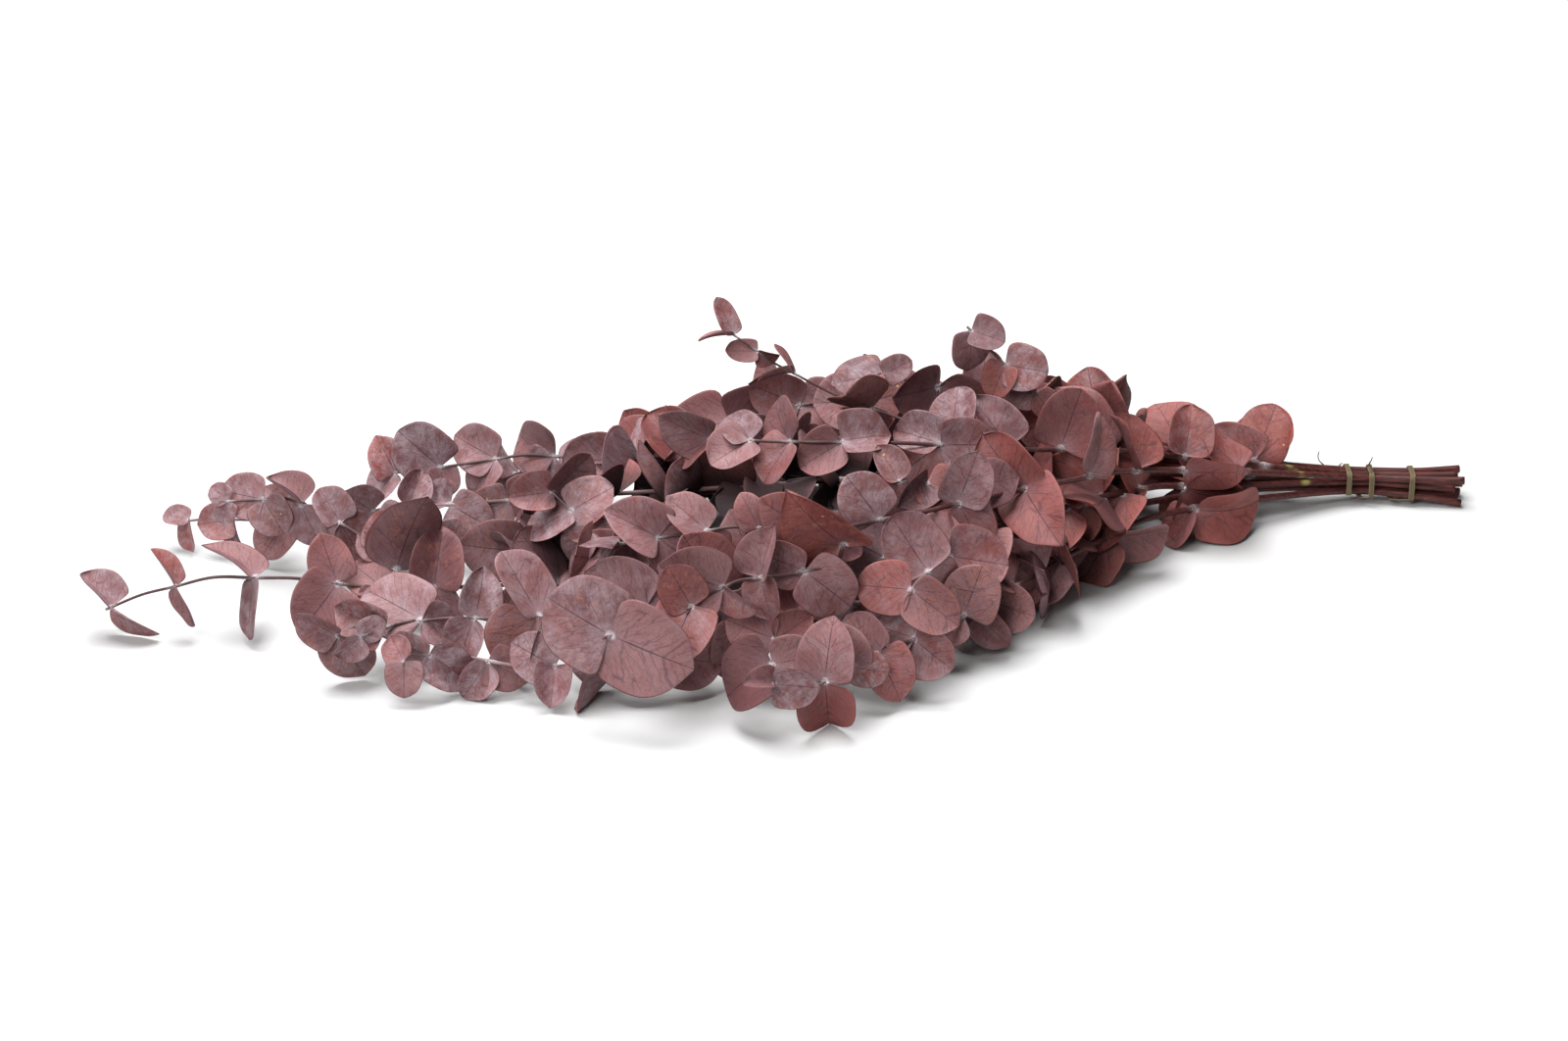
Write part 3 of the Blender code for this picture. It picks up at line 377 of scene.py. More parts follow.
@dataclass(frozen=True)
class Viewpoint:
    """Where the viewer stands: the clock angles of the leaves are read from here."""

    bearing: float = math.radians(-14)
    height: float = math.radians(25)

    def axes(self) -> tuple[Vector, Vector, Vector]:
        """The viewer's right, up and back directions."""
        level = math.cos(self.height)
        back = Vector((math.sin(self.bearing) * level, -math.cos(self.bearing) * level,
                       math.sin(self.height)))
        right = Vector((math.cos(self.bearing), math.sin(self.bearing), 0.0))
        return right, back.cross(right), back


@dataclass(frozen=True)
class Bundle:
    """The bare stems at the tie, side by side in slots, three rows of three."""

    pitch: float = 4.7
    rise: float = 4.1
    along: tuple = (0.968, -0.25, 0.0)
    across: tuple = (0.25, 0.968, 0.0)
    cut: tuple = ((351.0, 0.0, 8.9), 1.6)
    tied: tuple = (((327.0, 6.0, 10.4), 1.12), ((291.0, 15.3, 12.2), 1.0))
    cut_lengths: tuple = (0.0, -3.0, 1.0, -1.0, 2.0, -2.0, 1.5, -1.5, 0.5)

    def slot_point(self, slot: tuple, station: tuple, along: float = 0.0) -> Vector:
        """Centre of a stem's slot at a station of the bundle.

        Args:
            slot: Places across the bundle and up its rows, counted from its middle.
            station: Centre of the slots there, and how far they have spread.
            along: Extra distance towards the cut ends.

        Returns:
            The point, in millimetres.
        """
        centre, spread = station
        across, level = slot
        offset = Vector(self.across) * (across * self.pitch * spread)
        climb = Vector((0.0, 0.0, level * self.rise * spread))
        return Vector(centre) + offset + climb + Vector(self.along) * along

    def start(self, stem: LeafyStem) -> list[Vector]:
        """The first three points of a stem, from its cut end to the far side of the tie."""
        first = self.slot_point(stem.slot, self.cut, self.cut_lengths[STEMS.index(stem)])
        return [first] + [self.slot_point(stem.slot, station) for station in self.tied]


class Route:
    """A smooth curve through points, read by the distance along it."""

    def __init__(self, points: list[Vector], step: float = ROUTE_STEP) -> None:
        """Runs a Catmull-Rom curve through the points.

        Args:
            points: The points, in order.
            step: Spacing of the dense points.
        """
        ends = [points[0] * 2 - points[1], *points, points[-1] * 2 - points[-2]]
        self.dense = []
        for before, start, end, after in zip(ends, ends[1:], ends[2:], ends[3:]):
            steps = max(2, round((end - start).length / step))
            for index in range(steps):
                t = index / steps
                self.dense.append(0.5 * (
                    2 * start + (end - before) * t
                    + (2 * before - 5 * start + 4 * end - after) * t ** 2
                    + (3 * start - before - 3 * end + after) * t ** 3))
        self.dense.append(points[-1].copy())
        self.run = [0.0]
        for low, high in zip(self.dense, self.dense[1:]):
            self.run.append(self.run[-1] + (high - low).length)

    def at(self, distance: float) -> tuple[Vector, Vector]:
        """Finds a place on the curve.

        Args:
            distance: Distance along it.

        Returns:
            The point and the direction there.
        """
        index = 0
        while index < len(self.run) - 2 and self.run[index + 1] < distance:
            index += 1
        share = unit((distance - self.run[index]) / (self.run[index + 1] - self.run[index]))
        low, high = max(index - HEADING_SPAN, 0), min(index + 1 + HEADING_SPAN, len(self.dense) - 1)
        point = self.dense[index].lerp(self.dense[index + 1], share)
        return point, (self.dense[high] - self.dense[low]).normalized()

    def where(self, point: Vector) -> float:
        """Distance of the dense point nearest to a point."""
        nearest = min(range(len(self.dense)), key=lambda i: (self.dense[i] - point).length_squared)
        return self.run[nearest]


@dataclass
class Place:
    """A node of a shoot: its point, the shoot's direction and radius there, its share of the
    leafy length, and the two leaves that the route gives it, if any."""

    point: Vector
    direction: Vector
    radius: float
    leafy: float
    leaves: tuple = ()


class Axis:
    """A shoot's laid-out axis: its rings as the solids have them, and its leaf nodes."""

    def __init__(self, shoot: Shoot, start_points: list[Vector]) -> None:
        """Lays the shoot out.

        Args:
            shoot: The shoot's route and rule.
            start_points: The points before the route, from the cut end or on the main shoot's axis.
        """
        self.shoot = shoot
        route = Route([*start_points, *(Vector(entry[:3]) for entry in shoot.route)])
        self.total = route.run[-1]
        given = {route.where(Vector(entry[:3])): entry[3:] for entry in shoot.route if entry[3:]}
        bare = [route.where(point) for point in start_points]
        nodes = self.node_distances(sorted(given), bare[-1])
        gap = nodes[0] - bare[-1] - RING_OFFSET
        fills = max(1, round(gap / BARE_STEP))
        rings = bare + [bare[-1] + gap * k / fills for k in range(1, fills + 1)]
        rings += [(low + high) / 2.0 for low, high in zip(nodes, nodes[1:])]
        rings.append(nodes[-1] + TIP_STUB)
        rings = self.needed_rings(route, rings, len(bare))
        points = [route.at(ring)[0] for ring in rings]
        tip, heading = route.at(nodes[-1])
        points[-1] = tip + heading * TIP_STUB
        self.tube = list(zip(rings, points))
        self.places = []
        self.nodes = nodes
        for at in nodes:
            ring = next(k for k in range(len(rings) - 1) if rings[k + 1] > at)
            share = (at - rings[ring]) / (rings[ring + 1] - rings[ring])
            point = points[ring].lerp(points[ring + 1], share)
            heading = (points[ring + 1] - points[ring]).normalized()
            leafy = (at - nodes[0]) / max(1.0, nodes[-1] - nodes[0])
            self.places.append(Place(point, heading, self.radius(at), leafy, given.get(at, ())))

    def radius(self, at: float) -> float:
        """The shoot's radius at a distance along it."""
        return way((self.shoot.base_radius, self.shoot.tip_radius), at / self.total)

    def node_distances(self, given: list[float], start: float) -> list[float]:
        """Places the leaf nodes: those given, and even steps where they lie far apart.

        Args:
            given: Distances of the nodes that the route gives.
            start: Distance at which the route's own points begin.

        Returns:
            The nodes' distances along the shoot.
        """
        first = max(self.shoot.leaves_from, start + FIRST_NODE)
        ended = given and given[-1] > self.total - LAST_NODE
        stops = given + ([] if ended else [self.total - TIP_STUB])
        if first < stops[0] - NODE_ROOM:
            stops = [first] + stops
        nodes = []
        for low, high in zip(stops, stops[1:]):
            count = max(1, round((high - low) / way(self.shoot.internode, low / self.total)))
            nodes += [low + (high - low) * k / count for k in range(count)]
        return nodes + [stops[-1]]

    @staticmethod
    def needed_rings(route: Route, rings: list[float], keep: int) -> list[float]:
        """Leaves out the rings on straight stretches.

        Args:
            route: The shoot's route.
            rings: Distances of the rings.
            keep: How many of the first ones are kept in any case.

        Returns:
            The distances of the others.
        """
        kept = rings[:keep]
        for at, after in zip(rings[keep:], rings[keep + 1:]):
            start, middle, end = (route.at(stop)[0] for stop in (kept[-1], at, after))
            chord = (end - start).normalized()
            if (middle - start).cross(chord).length > STRAIGHT:
                kept.append(at)
        return kept + rings[-1:]


def lay_out(stem: LeafyStem) -> list[Axis]:
    """Lays out one stem.

    Args:
        stem: The stem.

    Returns:
        The main shoot's axis, then each side shoot's, which springs from it.
    """
    main = Axis(stem.main, Bundle().start(stem))
    axes = [main]
    for side in stem.sides:
        root = min((point for _, point in main.tube), key=lambda point: (point - Vector(side.node)).length)
        axes.append(Axis(side, [root]))
    return axes


@dataclass
class Blade:
    """One leaf: where its midrib starts, which way it points, and how it is shaped."""

    base: Vector
    along: Vector
    face: Vector
    length: float
    width: float
    fold: float
    bend: float
    cup: float

    def point(self, t: float, side: float) -> Vector:
        """Finds a point of the blade.

        Args:
            t: Share of its length.
            side: Distance from the midrib, negative on one side.

        Returns:
            The point.
        """
        across = self.face.cross(self.along)
        x = self.length * t
        lift = abs(side) * math.sin(self.fold) - self.bend * x * x / self.length
        lift += self.cup * side * side / self.length
        return self.base + self.along * x + across * (side * math.cos(self.fold)) + self.face * lift

    def outline(self, turn: float) -> tuple[float, float]:
        """The rim at an angle from the root: share of the length, and distance from the midrib."""
        side = self.width / 2.0 * math.sin(turn) * (1.0 + BLADE_EGG * math.cos(turn))
        return (1.0 - math.cos(turn)) / 2.0, side

    def pressed(self, middle: Vector, lift: float, thickness: float) -> Vector:
        """A point lifted off the blade's middle, kept on the surface where the blade meets it.

        Args:
            middle: Point of the blade's middle layer.
            lift: Distance from the middle layer, positive on the upper face.
            thickness: Thickness that the blade is laid down with.

        Returns:
            The point of the blade's face.
        """
        if middle.z > thickness * 0.5 * abs(self.face.z):
            return middle + self.face * lift
        if abs(self.face.z) > FLAT_LEAN:
            return Vector((middle.x, middle.y, thickness / 2.0 + (lift if self.face.z > 0.0 else -lift)))
        level = Vector((self.face.x, self.face.y, 0.0)).normalized() * lift
        return Vector((middle.x + level.x, middle.y + level.y, 0.0))

    def corners(self, rim: Rim) -> list[Vector]:
        """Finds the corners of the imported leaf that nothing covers: at its tip and beside it.

        Args:
            rim: The angles of its corners.

        Returns:
            The corners on both faces.
        """
        places = [(math.radians(turn) * sign, level * BLADE_THICKNESS) for turn in rim.value[-2:]
                  for sign in (-1, 1) for level in (-0.5, 0.5)]
        return [self.pressed(self.point(*self.outline(turn)), lift, BLADE_THICKNESS) for turn, lift in places]


@dataclass(frozen=True)
class LeafRule:
    """The rule by which a shoot's leaves are placed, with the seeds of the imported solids.

    Angles are in degrees. Three strays set a leaf off its wanted pose, and the swings say how far
    the last pose that is tried may be from it: in the leaf's direction, its lean or splay, and its
    turn about its midrib.
    """

    right: Vector
    up: Vector
    back: Vector
    sizes: tuple = (0.88, 1.12)
    splay_stray: float = 12.0
    roll_stray: float = 14.0
    pose_stray: float = 26.0
    turn_strays: tuple = (0.7, 1.0, 2.0)
    given_stray: float = 0.3
    folds: tuple = (4, 8, 8, 14, 22, 34)
    bends: tuple = (-0.05, 0.28)
    cups: tuple = (-0.10, 0.30)
    ratios: tuple = (0.94, 1.14)
    given_swings: tuple = (30.0, 35.0, 40.0)
    grown_swings: tuple = (70.0, 40.0, 60.0)
    splays: tuple = (15.0, 110.0)
    shrink: float = 0.3
    turn_share: float = 0.62
    tipward: float = 0.25

    def outward(self, point: Vector) -> Vector:
        """Direction away from the heap's core, a little towards the tips."""
        away = point - core_beside(point)
        away.x = -self.tipward * away.length
        return away.normalized()

    def given(self, leaf: tuple, strays: tuple, swing: list[float]) -> tuple[Vector, Vector]:
        """Which way a leaf of the route points and faces, read from the viewpoint.

        Args:
            leaf: Its clock angle, length, lean, turn and width over length.
            strays: How far it leans and turns off the wanted pose.
            swing: Shares of the swings, from -1 to 1.

        Returns:
            The directions of its midrib and of its upper face.
        """
        clock, _, lean, turn, _ = leaf
        settled = self.given_stray if lean or turn else 1.0
        clock_swing, lean_swing, turn_swing = self.given_swings
        angle = math.radians(clock + clock_swing * swing[0])
        lean = math.radians(lean + strays[0] * settled + lean_swing * swing[1])
        flat = self.right * math.sin(angle) + self.up * math.cos(angle)
        along = flat * math.cos(lean) + self.back * math.sin(lean)
        face = (self.back - along * self.back.dot(along)).normalized()
        return along, turned(face, along, math.radians(turn + strays[1] * settled + turn_swing * swing[2]))

    def grown(self, place: Place, roll: float, splay: float, stray: float,
              swing: list[float]) -> tuple[Vector, Vector]:
        """Which way a leaf of the rule points and faces: off the shoot, its face out of the heap.

        Args:
            place: The node that the leaf grows from.
            roll: Angle round the shoot.
            splay: Angle off the shoot.
            stray: How far it turns off the wanted pose.
            swing: Shares of the swings, from -1 to 1.

        Returns:
            The directions of its midrib and of its upper face.
        """
        roll_swing, splay_swing, turn_swing = self.grown_swings
        up, across = stem_frame(place.direction)
        angle = math.radians(roll + roll_swing * swing[0])
        radial = up * math.cos(angle) + across * math.sin(angle)
        spread = math.radians(min(max(splay + splay_swing * swing[1], self.splays[0]), self.splays[1]))
        along = place.direction * math.cos(spread) + radial * math.sin(spread)
        face = place.direction * math.sin(spread) - radial * math.cos(spread)
        wanted = self.outward(place.point)
        wanted = (wanted - along * wanted.dot(along)).normalized()
        if wanted.dot(face) < 0.0:
            wanted = -wanted
        angle = math.atan2(along.dot(face.cross(wanted)), face.dot(wanted))
        turn = angle * self.turn_share + math.radians(stray + turn_swing * swing[2])
        return along, turned(face, along, turn)

    def candidates(self, shoot: Shoot, place: Place, node: int, side: int) -> Iterator[Blade]:
        """The poses tried for one leaf, the wanted one first and then wider and wider of it.

        Args:
            shoot: The shoot that the leaf grows on.
            place: The node that it grows from.
            node: The node's number on the shoot.
            side: 0 or 1, which leaf of the pair.

        Yields:
            One blade after another.
        """
        rng = random.Random(f"{shoot.name}/{node}/{side}")
        length = way(shoot.leaf, place.leafy) * rng.uniform(*self.sizes)
        splay = way(shoot.splay, place.leafy) + rng.uniform(-self.splay_stray, self.splay_stray)
        roll = shoot.roll + 90.0 * node + 180.0 * side + rng.uniform(-self.roll_stray, self.roll_stray)
        fold = math.radians(rng.choice(self.folds))
        bend = rng.uniform(*self.bends)
        cup = rng.uniform(*self.cups)
        ratio = rng.uniform(*self.ratios)
        turn_stray = rng.uniform(-self.pose_stray, self.pose_stray) * rng.choice(self.turn_strays)
        lean_stray = rng.uniform(-self.pose_stray, self.pose_stray)
        leaf = (*place.leaves[side], 0, 0, 0)[:5] if place.leaves else ()
        if leaf:
            length, ratio = leaf[1], leaf[4] or ratio
        for step in range(TRIES):
            reach = step / (TRIES - 1)
            swing = [rng.uniform(-1, 1) * reach for _ in range(4)]
            reached = length * (1.0 - self.shrink * reach * rng.random())
            if leaf:
                along, face = self.given(leaf, (lean_stray, turn_stray), swing)
            else:
                along, face = self.grown(place, roll, splay, turn_stray, swing)
            out = (along - place.direction * along.dot(place.direction)).normalized()
            yield Blade(
                base=place.point + out * max(0.0, place.radius - ROOT_DEPTH), along=along, face=face,
                length=reached, width=reached * ratio, fold=fold, bend=bend * (1 + swing[3]), cup=cup)


@dataclass
class PackedCorners:
    """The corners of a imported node, in which the leaves' settled poses are looked up."""

    node: str
    near: float = 0.05

    def __post_init__(self) -> None:
        """Takes the node's corners in."""
        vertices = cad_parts[self.node].data.vertices
        self.tree = KDTree(len(vertices))
        for vertex in vertices:
            self.tree.insert(vertex.co, vertex.index)
        self.tree.balance()

    def settled(self, place: Place, poses: Iterator[Blade]) -> Blade | None:
        """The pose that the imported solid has, or None where it has no such leaf.

        Args:
            place: The node that the leaf grows from.
            poses: The poses to look for.

        Returns:
            The pose, or None.
        """
        for blade in poses:
            rim = Rim.LARGE if place.leaves and blade.length > SMALL_LEAF else Rim.SMALL
            if all(self.tree.find(row(corner))[2] < self.near * MM for corner in blade.corners(rim)):
                return blade
        return None


@dataclass(frozen=True)
class LeafLook:
    """What makes one leaf differ from the next: its waves, curl, ripples and tints."""

    phase: float
    wave: float
    waves: float
    curl: float
    ripple: float
    twist: float
    roll: float
    point: float
    lobe: float
    sweep: float
    fold: float
    warmth: float
    bloom: float
    blotch: float

    @classmethod
    def drawn(cls, name: str, blade: Blade, young: float) -> "LeafLook":
        """Draws a leaf's look: more curled and rusty towards the tie, paler at the left tips.

        Args:
            name: The leaf's name, which is the seed.
            blade: The leaf's settled pose.
            young: 0 for a leaf low on a thick stem, 1 for one at a thin tip.

        Returns:
            The look.
        """
        rng = random.Random(f"look {name}")
        aside = unit(abs(blade.base.y - MIDDLE_LINE) / SIDE_REACH)
        right_end = share_of(blade.base.x, *RIGHT_END)
        left_end = share_of(blade.base.x, *LEFT_END) * aside
        rough = 1.0 + 1.6 * right_end
        return cls(
            phase=rng.random(),
            wave=rng.uniform(0.008, 0.030) * rough,
            waves=rng.uniform(2.2, 4.6),
            curl=rng.uniform(-0.3, 0.35) * (1.0 + right_end),
            ripple=rng.uniform(0.006, 0.026) * rough,
            twist=rng.uniform(-0.30, 0.30) * rough,
            roll=rng.uniform(-0.05, 0.08) * (1.0 + 0.8 * right_end),
            point=max(0.0, rng.uniform(-0.03, 0.07)),
            lobe=rng.uniform(0.03, 0.15),
            sweep=rng.choice((0.0, 0.0, 0.0, -0.14, 0.16, 0.22)) * (1.0 - young) * rng.uniform(0.6, 1.0),
            fold=rng.choice((0.0, 0.0, 0.06, 0.12, 0.30)) * rng.uniform(0.5, 1.0),
            warmth=unit(0.22 + 0.62 * right_end - 0.12 * left_end + rng.gauss(0.0, 0.22)),
            bloom=unit(0.30 - 0.26 * right_end + 0.42 * left_end + 0.1 * young + rng.gauss(0.0, 0.30)),
            blotch=rng.random() ** 1.4,
        )


def placed(name: str, data: bpy.types.ID) -> bpy.types.Object:
    """A new object of the scene that shows the data."""
    thing = bpy.data.objects.new(name, data)
    bpy.context.scene.collection.objects.link(thing)
    return thing


def meshed(work: bmesh.types.BMesh, name: str, materials: list[bpy.types.Material]) -> bpy.types.Object:
    """Turns a bmesh into an object at the origin.

    Args:
        work: The mesh, which is freed.
        name: The object's name.
        materials: Its materials, by slot.

    Returns:
        The new object.
    """
    mesh = bpy.data.meshes.new(name)
    work.to_mesh(mesh)
    work.free()
    for material in materials:
        mesh.materials.append(material)
    return placed(name, mesh)


def finished(work: bmesh.types.BMesh, name: str, materials: list[bpy.types.Material]) -> bpy.types.Object:
    """Turns a bmesh into a smooth-shaded piece that rides on the body, as meshed() does."""
    for face in work.faces:
        face.smooth = True
    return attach(meshed(work, name, materials), BODY)


def thickened(thing: bpy.types.Object, thickness: float) -> bpy.types.Modifier:
    """Makes a thing's sheets walls with rounded rims.

    Args:
        thing: The object.
        thickness: The walls' thickness.

    Returns:
        The modifier that makes the walls.
    """
    wall = thing.modifiers.new("thickness", "SOLIDIFY")
    wall.thickness = thickness * MM
    wall.offset = 0.0
    soft = thing.modifiers.new("soft", "SUBSURF")
    soft.levels = 1
    soft.render_levels = 1
    return wall


@dataclass(frozen=True)
class Sliver:
    """A torn, curling strip of bark: where it still holds, which way it goes, and its sizes."""

    stem: str
    start: tuple
    along: tuple
    up: tuple
    length: float
    width: float
    curl: float
    taper: float = 0.75
    hollow: float = 0.3

    def point(self, t: float, side: float) -> Vector:
        """A point at share t of its length, and from -1 to 1 across it."""
        along, up = Vector(self.along), Vector(self.up)
        angle = self.curl * t
        reach = along * (math.sin(angle) / self.curl) + up * ((1.0 - math.cos(angle)) / self.curl)
        half = self.width / 2.0 * (1.0 - self.taper * t)
        lift = up * (self.hollow * t * side ** 2)
        return Vector(self.start) + reach * self.length + along.cross(up) * (side * half) + lift


@dataclass
class LeafSheets:
    """All the leaves of one stem, as sheets in one mesh that modifiers make blades.

    A bulge is its size, the rim's angle where it is largest, and its reach in radians.
    """

    rows: int = 9
    columns: int = 6
    end_row: float = 0.999
    weld: float = 0.02
    strip: tuple = (7, 2)
    thickness: float = 0.45
    wide_lobe: float = 0.60
    lobe: tuple = (0.8, 0.42)
    shoulder: tuple = (0.26, 0.55, 0.45)
    tip_shoulder: tuple = (0.13, 2.45, 0.4)
    point_reach: float = 0.24
    crease_width: float = 0.4
    crease_depth: float = 0.632
    curl_from: float = 0.62
    twist_from: float = 0.15
    rest: float = 0.5
    soft_rest: float = 1.6
    steepest: float = 0.25
    furthest_slide: float = 8.0
    ripples: float = 5.0
    ripple_shift: float = 12.0
    wave_shift: float = 6.3
    side_shift: float = 1.4
    # Reach of the painted shade in the heap's core: across and up from its middle line, and where it fades
    # along the bunch.
    heap: tuple = (70.0, 52.0)
    heap_ends: tuple = (-190.0, -60.0, 90.0, 190.0)

    def __post_init__(self) -> None:
        """Starts an empty mesh with its layers."""
        self.work = bmesh.new()
        self.flat = self.work.loops.layers.uv.new("flat")
        self.rim = self.work.loops.layers.uv.new("rim")
        self.tint = self.work.verts.layers.float_color.new("tint")
        self.heap_shade = self.work.verts.layers.float_color.new("heap")

    def laid(self, blade: Blade, point: Vector) -> Vector:
        """Keeps a point above the table: what would go through it bends and lies along it.

        Args:
            blade: The leaf's settled pose.
            point: A point of the leaf.

        Returns:
            The point, moved along the table by as much of the leaf as would be under it.
        """
        height = point.z - self.rest
        lifted = (height + math.hypot(height, self.soft_rest)) / 2.0
        steep = max(self.steepest, math.hypot(blade.face.x, blade.face.y))
        run = min((lifted - height) / steep, self.furthest_slide)
        level = Vector((blade.face.x, blade.face.y, 0.0)).normalized() * math.copysign(1.0, blade.face.z)
        moved = point + level * (run * (1.0 - abs(blade.face.z)))
        moved.z = self.rest + lifted
        return moved

    def depth(self, point: Vector) -> float:
        """Measures how deep in the heap a point is, for the painted shade of the heap's core.

        Args:
            point: The point.

        Returns:
            0 outside the heap, 1 at its core.
        """
        away = point - core_beside(point)
        round_core = max(0.0, 1.0 - (away.y / self.heap[0]) ** 2 - (away.z / self.heap[1]) ** 2)
        left, full_left, full_right, right = self.heap_ends
        ends = min((point.x - left) / (full_left - left), (right - point.x) / (right - full_right), 1.0)
        return round_core * max(0.0, ends)

    def shaped(self, blade: Blade, look: LeafLook, turn: float, share: float) -> tuple[Vector, float, float]:
        """One point of a leaf.

        Args:
            blade: The leaf's settled pose.
            look: The leaf's own look.
            turn: Angle of the row of points on the rim, from the root to the tip.
            share: Place across the row, -1 and 1 on the rim.

        Returns:
            The point, and its flat place: share of length, and distance from the midrib over length.
        """
        length = blade.length
        t, side = blade.outline(turn)
        wide = max(0.0, blade.width / length - 1.0)
        t += look.point * hump(turn, math.pi, self.point_reach)
        t -= (look.lobe + self.wide_lobe * wide) * hump(turn, *self.lobe) * share ** 2
        fuller = 1.0
        for size, at, reach in (self.shoulder, self.tip_shoulder):
            fuller += size * hump(turn, at, reach)
        ripple = math.sin(self.ripples * turn + self.ripple_shift * look.phase + share)
        side *= share * fuller * (1.0 + look.ripple * ripple)
        x = length * t
        crease = math.sqrt(side * side + self.crease_width) - self.crease_depth
        shift = self.wave_shift * look.phase + (self.side_shift if share > 0.0 else 0.0)
        wave = math.sin(look.waves * turn + shift)
        lift = crease * math.sin(blade.fold) - blade.bend * x * x / length
        lift += blade.cup * side * side / length + look.wave * length * share ** 2 * wave
        lift -= look.curl * length * max(0.0, t - self.curl_from) ** 2
        lift += look.twist * side * (t - self.twist_from) + look.roll * length * share ** 4
        lift += look.fold * crease - look.sweep * length * t * t
        across = blade.face.cross(blade.along)
        point = blade.base + blade.along * x + across * (side * math.cos(blade.fold)) + blade.face * lift
        return self.laid(blade, point), t, side / length

    def grow(self, blade: Blade, look: LeafLook) -> None:
        """Adds one leaf: a grid wrapped between the root and the tip, its end rows merged.

        Args:
            blade: The leaf's settled pose.
            look: The leaf's own look.
        """
        verts = bmesh.ops.create_grid(
            self.work, x_segments=self.rows, y_segments=self.columns, size=1.0)["verts"]
        places = {}
        ends = []
        for vert in verts:
            turn = (vert.co.x + 1.0) / 2.0 * math.pi
            share = vert.co.y
            if abs(vert.co.x) > self.end_row:
                ends.append(vert)
            point, t, side = self.shaped(blade, look, turn, share)
            places[vert] = ((t, 0.5 + side), (turn / math.pi, 0.5 + share / 2.0))
            vert.co = row(point)
            vert[self.tint] = (look.warmth, look.bloom, look.blotch, look.phase)
            # How deep in the heap the point lies, which the leaf material turns into painted shade.
            vert[self.heap_shade] = (self.depth(point), 0.0, 0.0, 1.0)
        for face in {face for vert in verts for face in vert.link_faces}:
            for loop in face.loops:
                loop[self.flat].uv, loop[self.rim].uv = places[loop.vert]
        bmesh.ops.remove_doubles(self.work, verts=ends, dist=self.weld * MM)

    def tear(self, sliver: Sliver) -> None:
        """Adds a torn strip of bark."""
        rows, columns = self.strip
        verts = bmesh.ops.create_grid(self.work, x_segments=rows, y_segments=columns, size=1.0)["verts"]
        for vert in verts:
            t = (vert.co.x + 1.0) / 2.0
            vert.co = row(sliver.point(t, vert.co.y))
            vert[self.tint] = (0.5, 0.0, 0.0, t)
        for face in {face for vert in verts for face in vert.link_faces}:
            face.material_index = LeafSlot.BARK

    def piece(self, name: str, materials: list[bpy.types.Material]) -> bpy.types.Object:
        """Makes the leaves one object, with a thickness and rounded rims from its modifiers.

        Args:
            name: The piece's name.
            materials: Its materials, by slot.

        Returns:
            The piece.
        """
        thing = finished(self.work, name, materials)
        wall = thickened(thing, self.thickness)
        # The under faces take the underside material, which is darker as painted shade.
        wall.material_offset = LeafSlot.UNDER
        wall.material_offset_rim = LeafSlot.FACE
        return thing


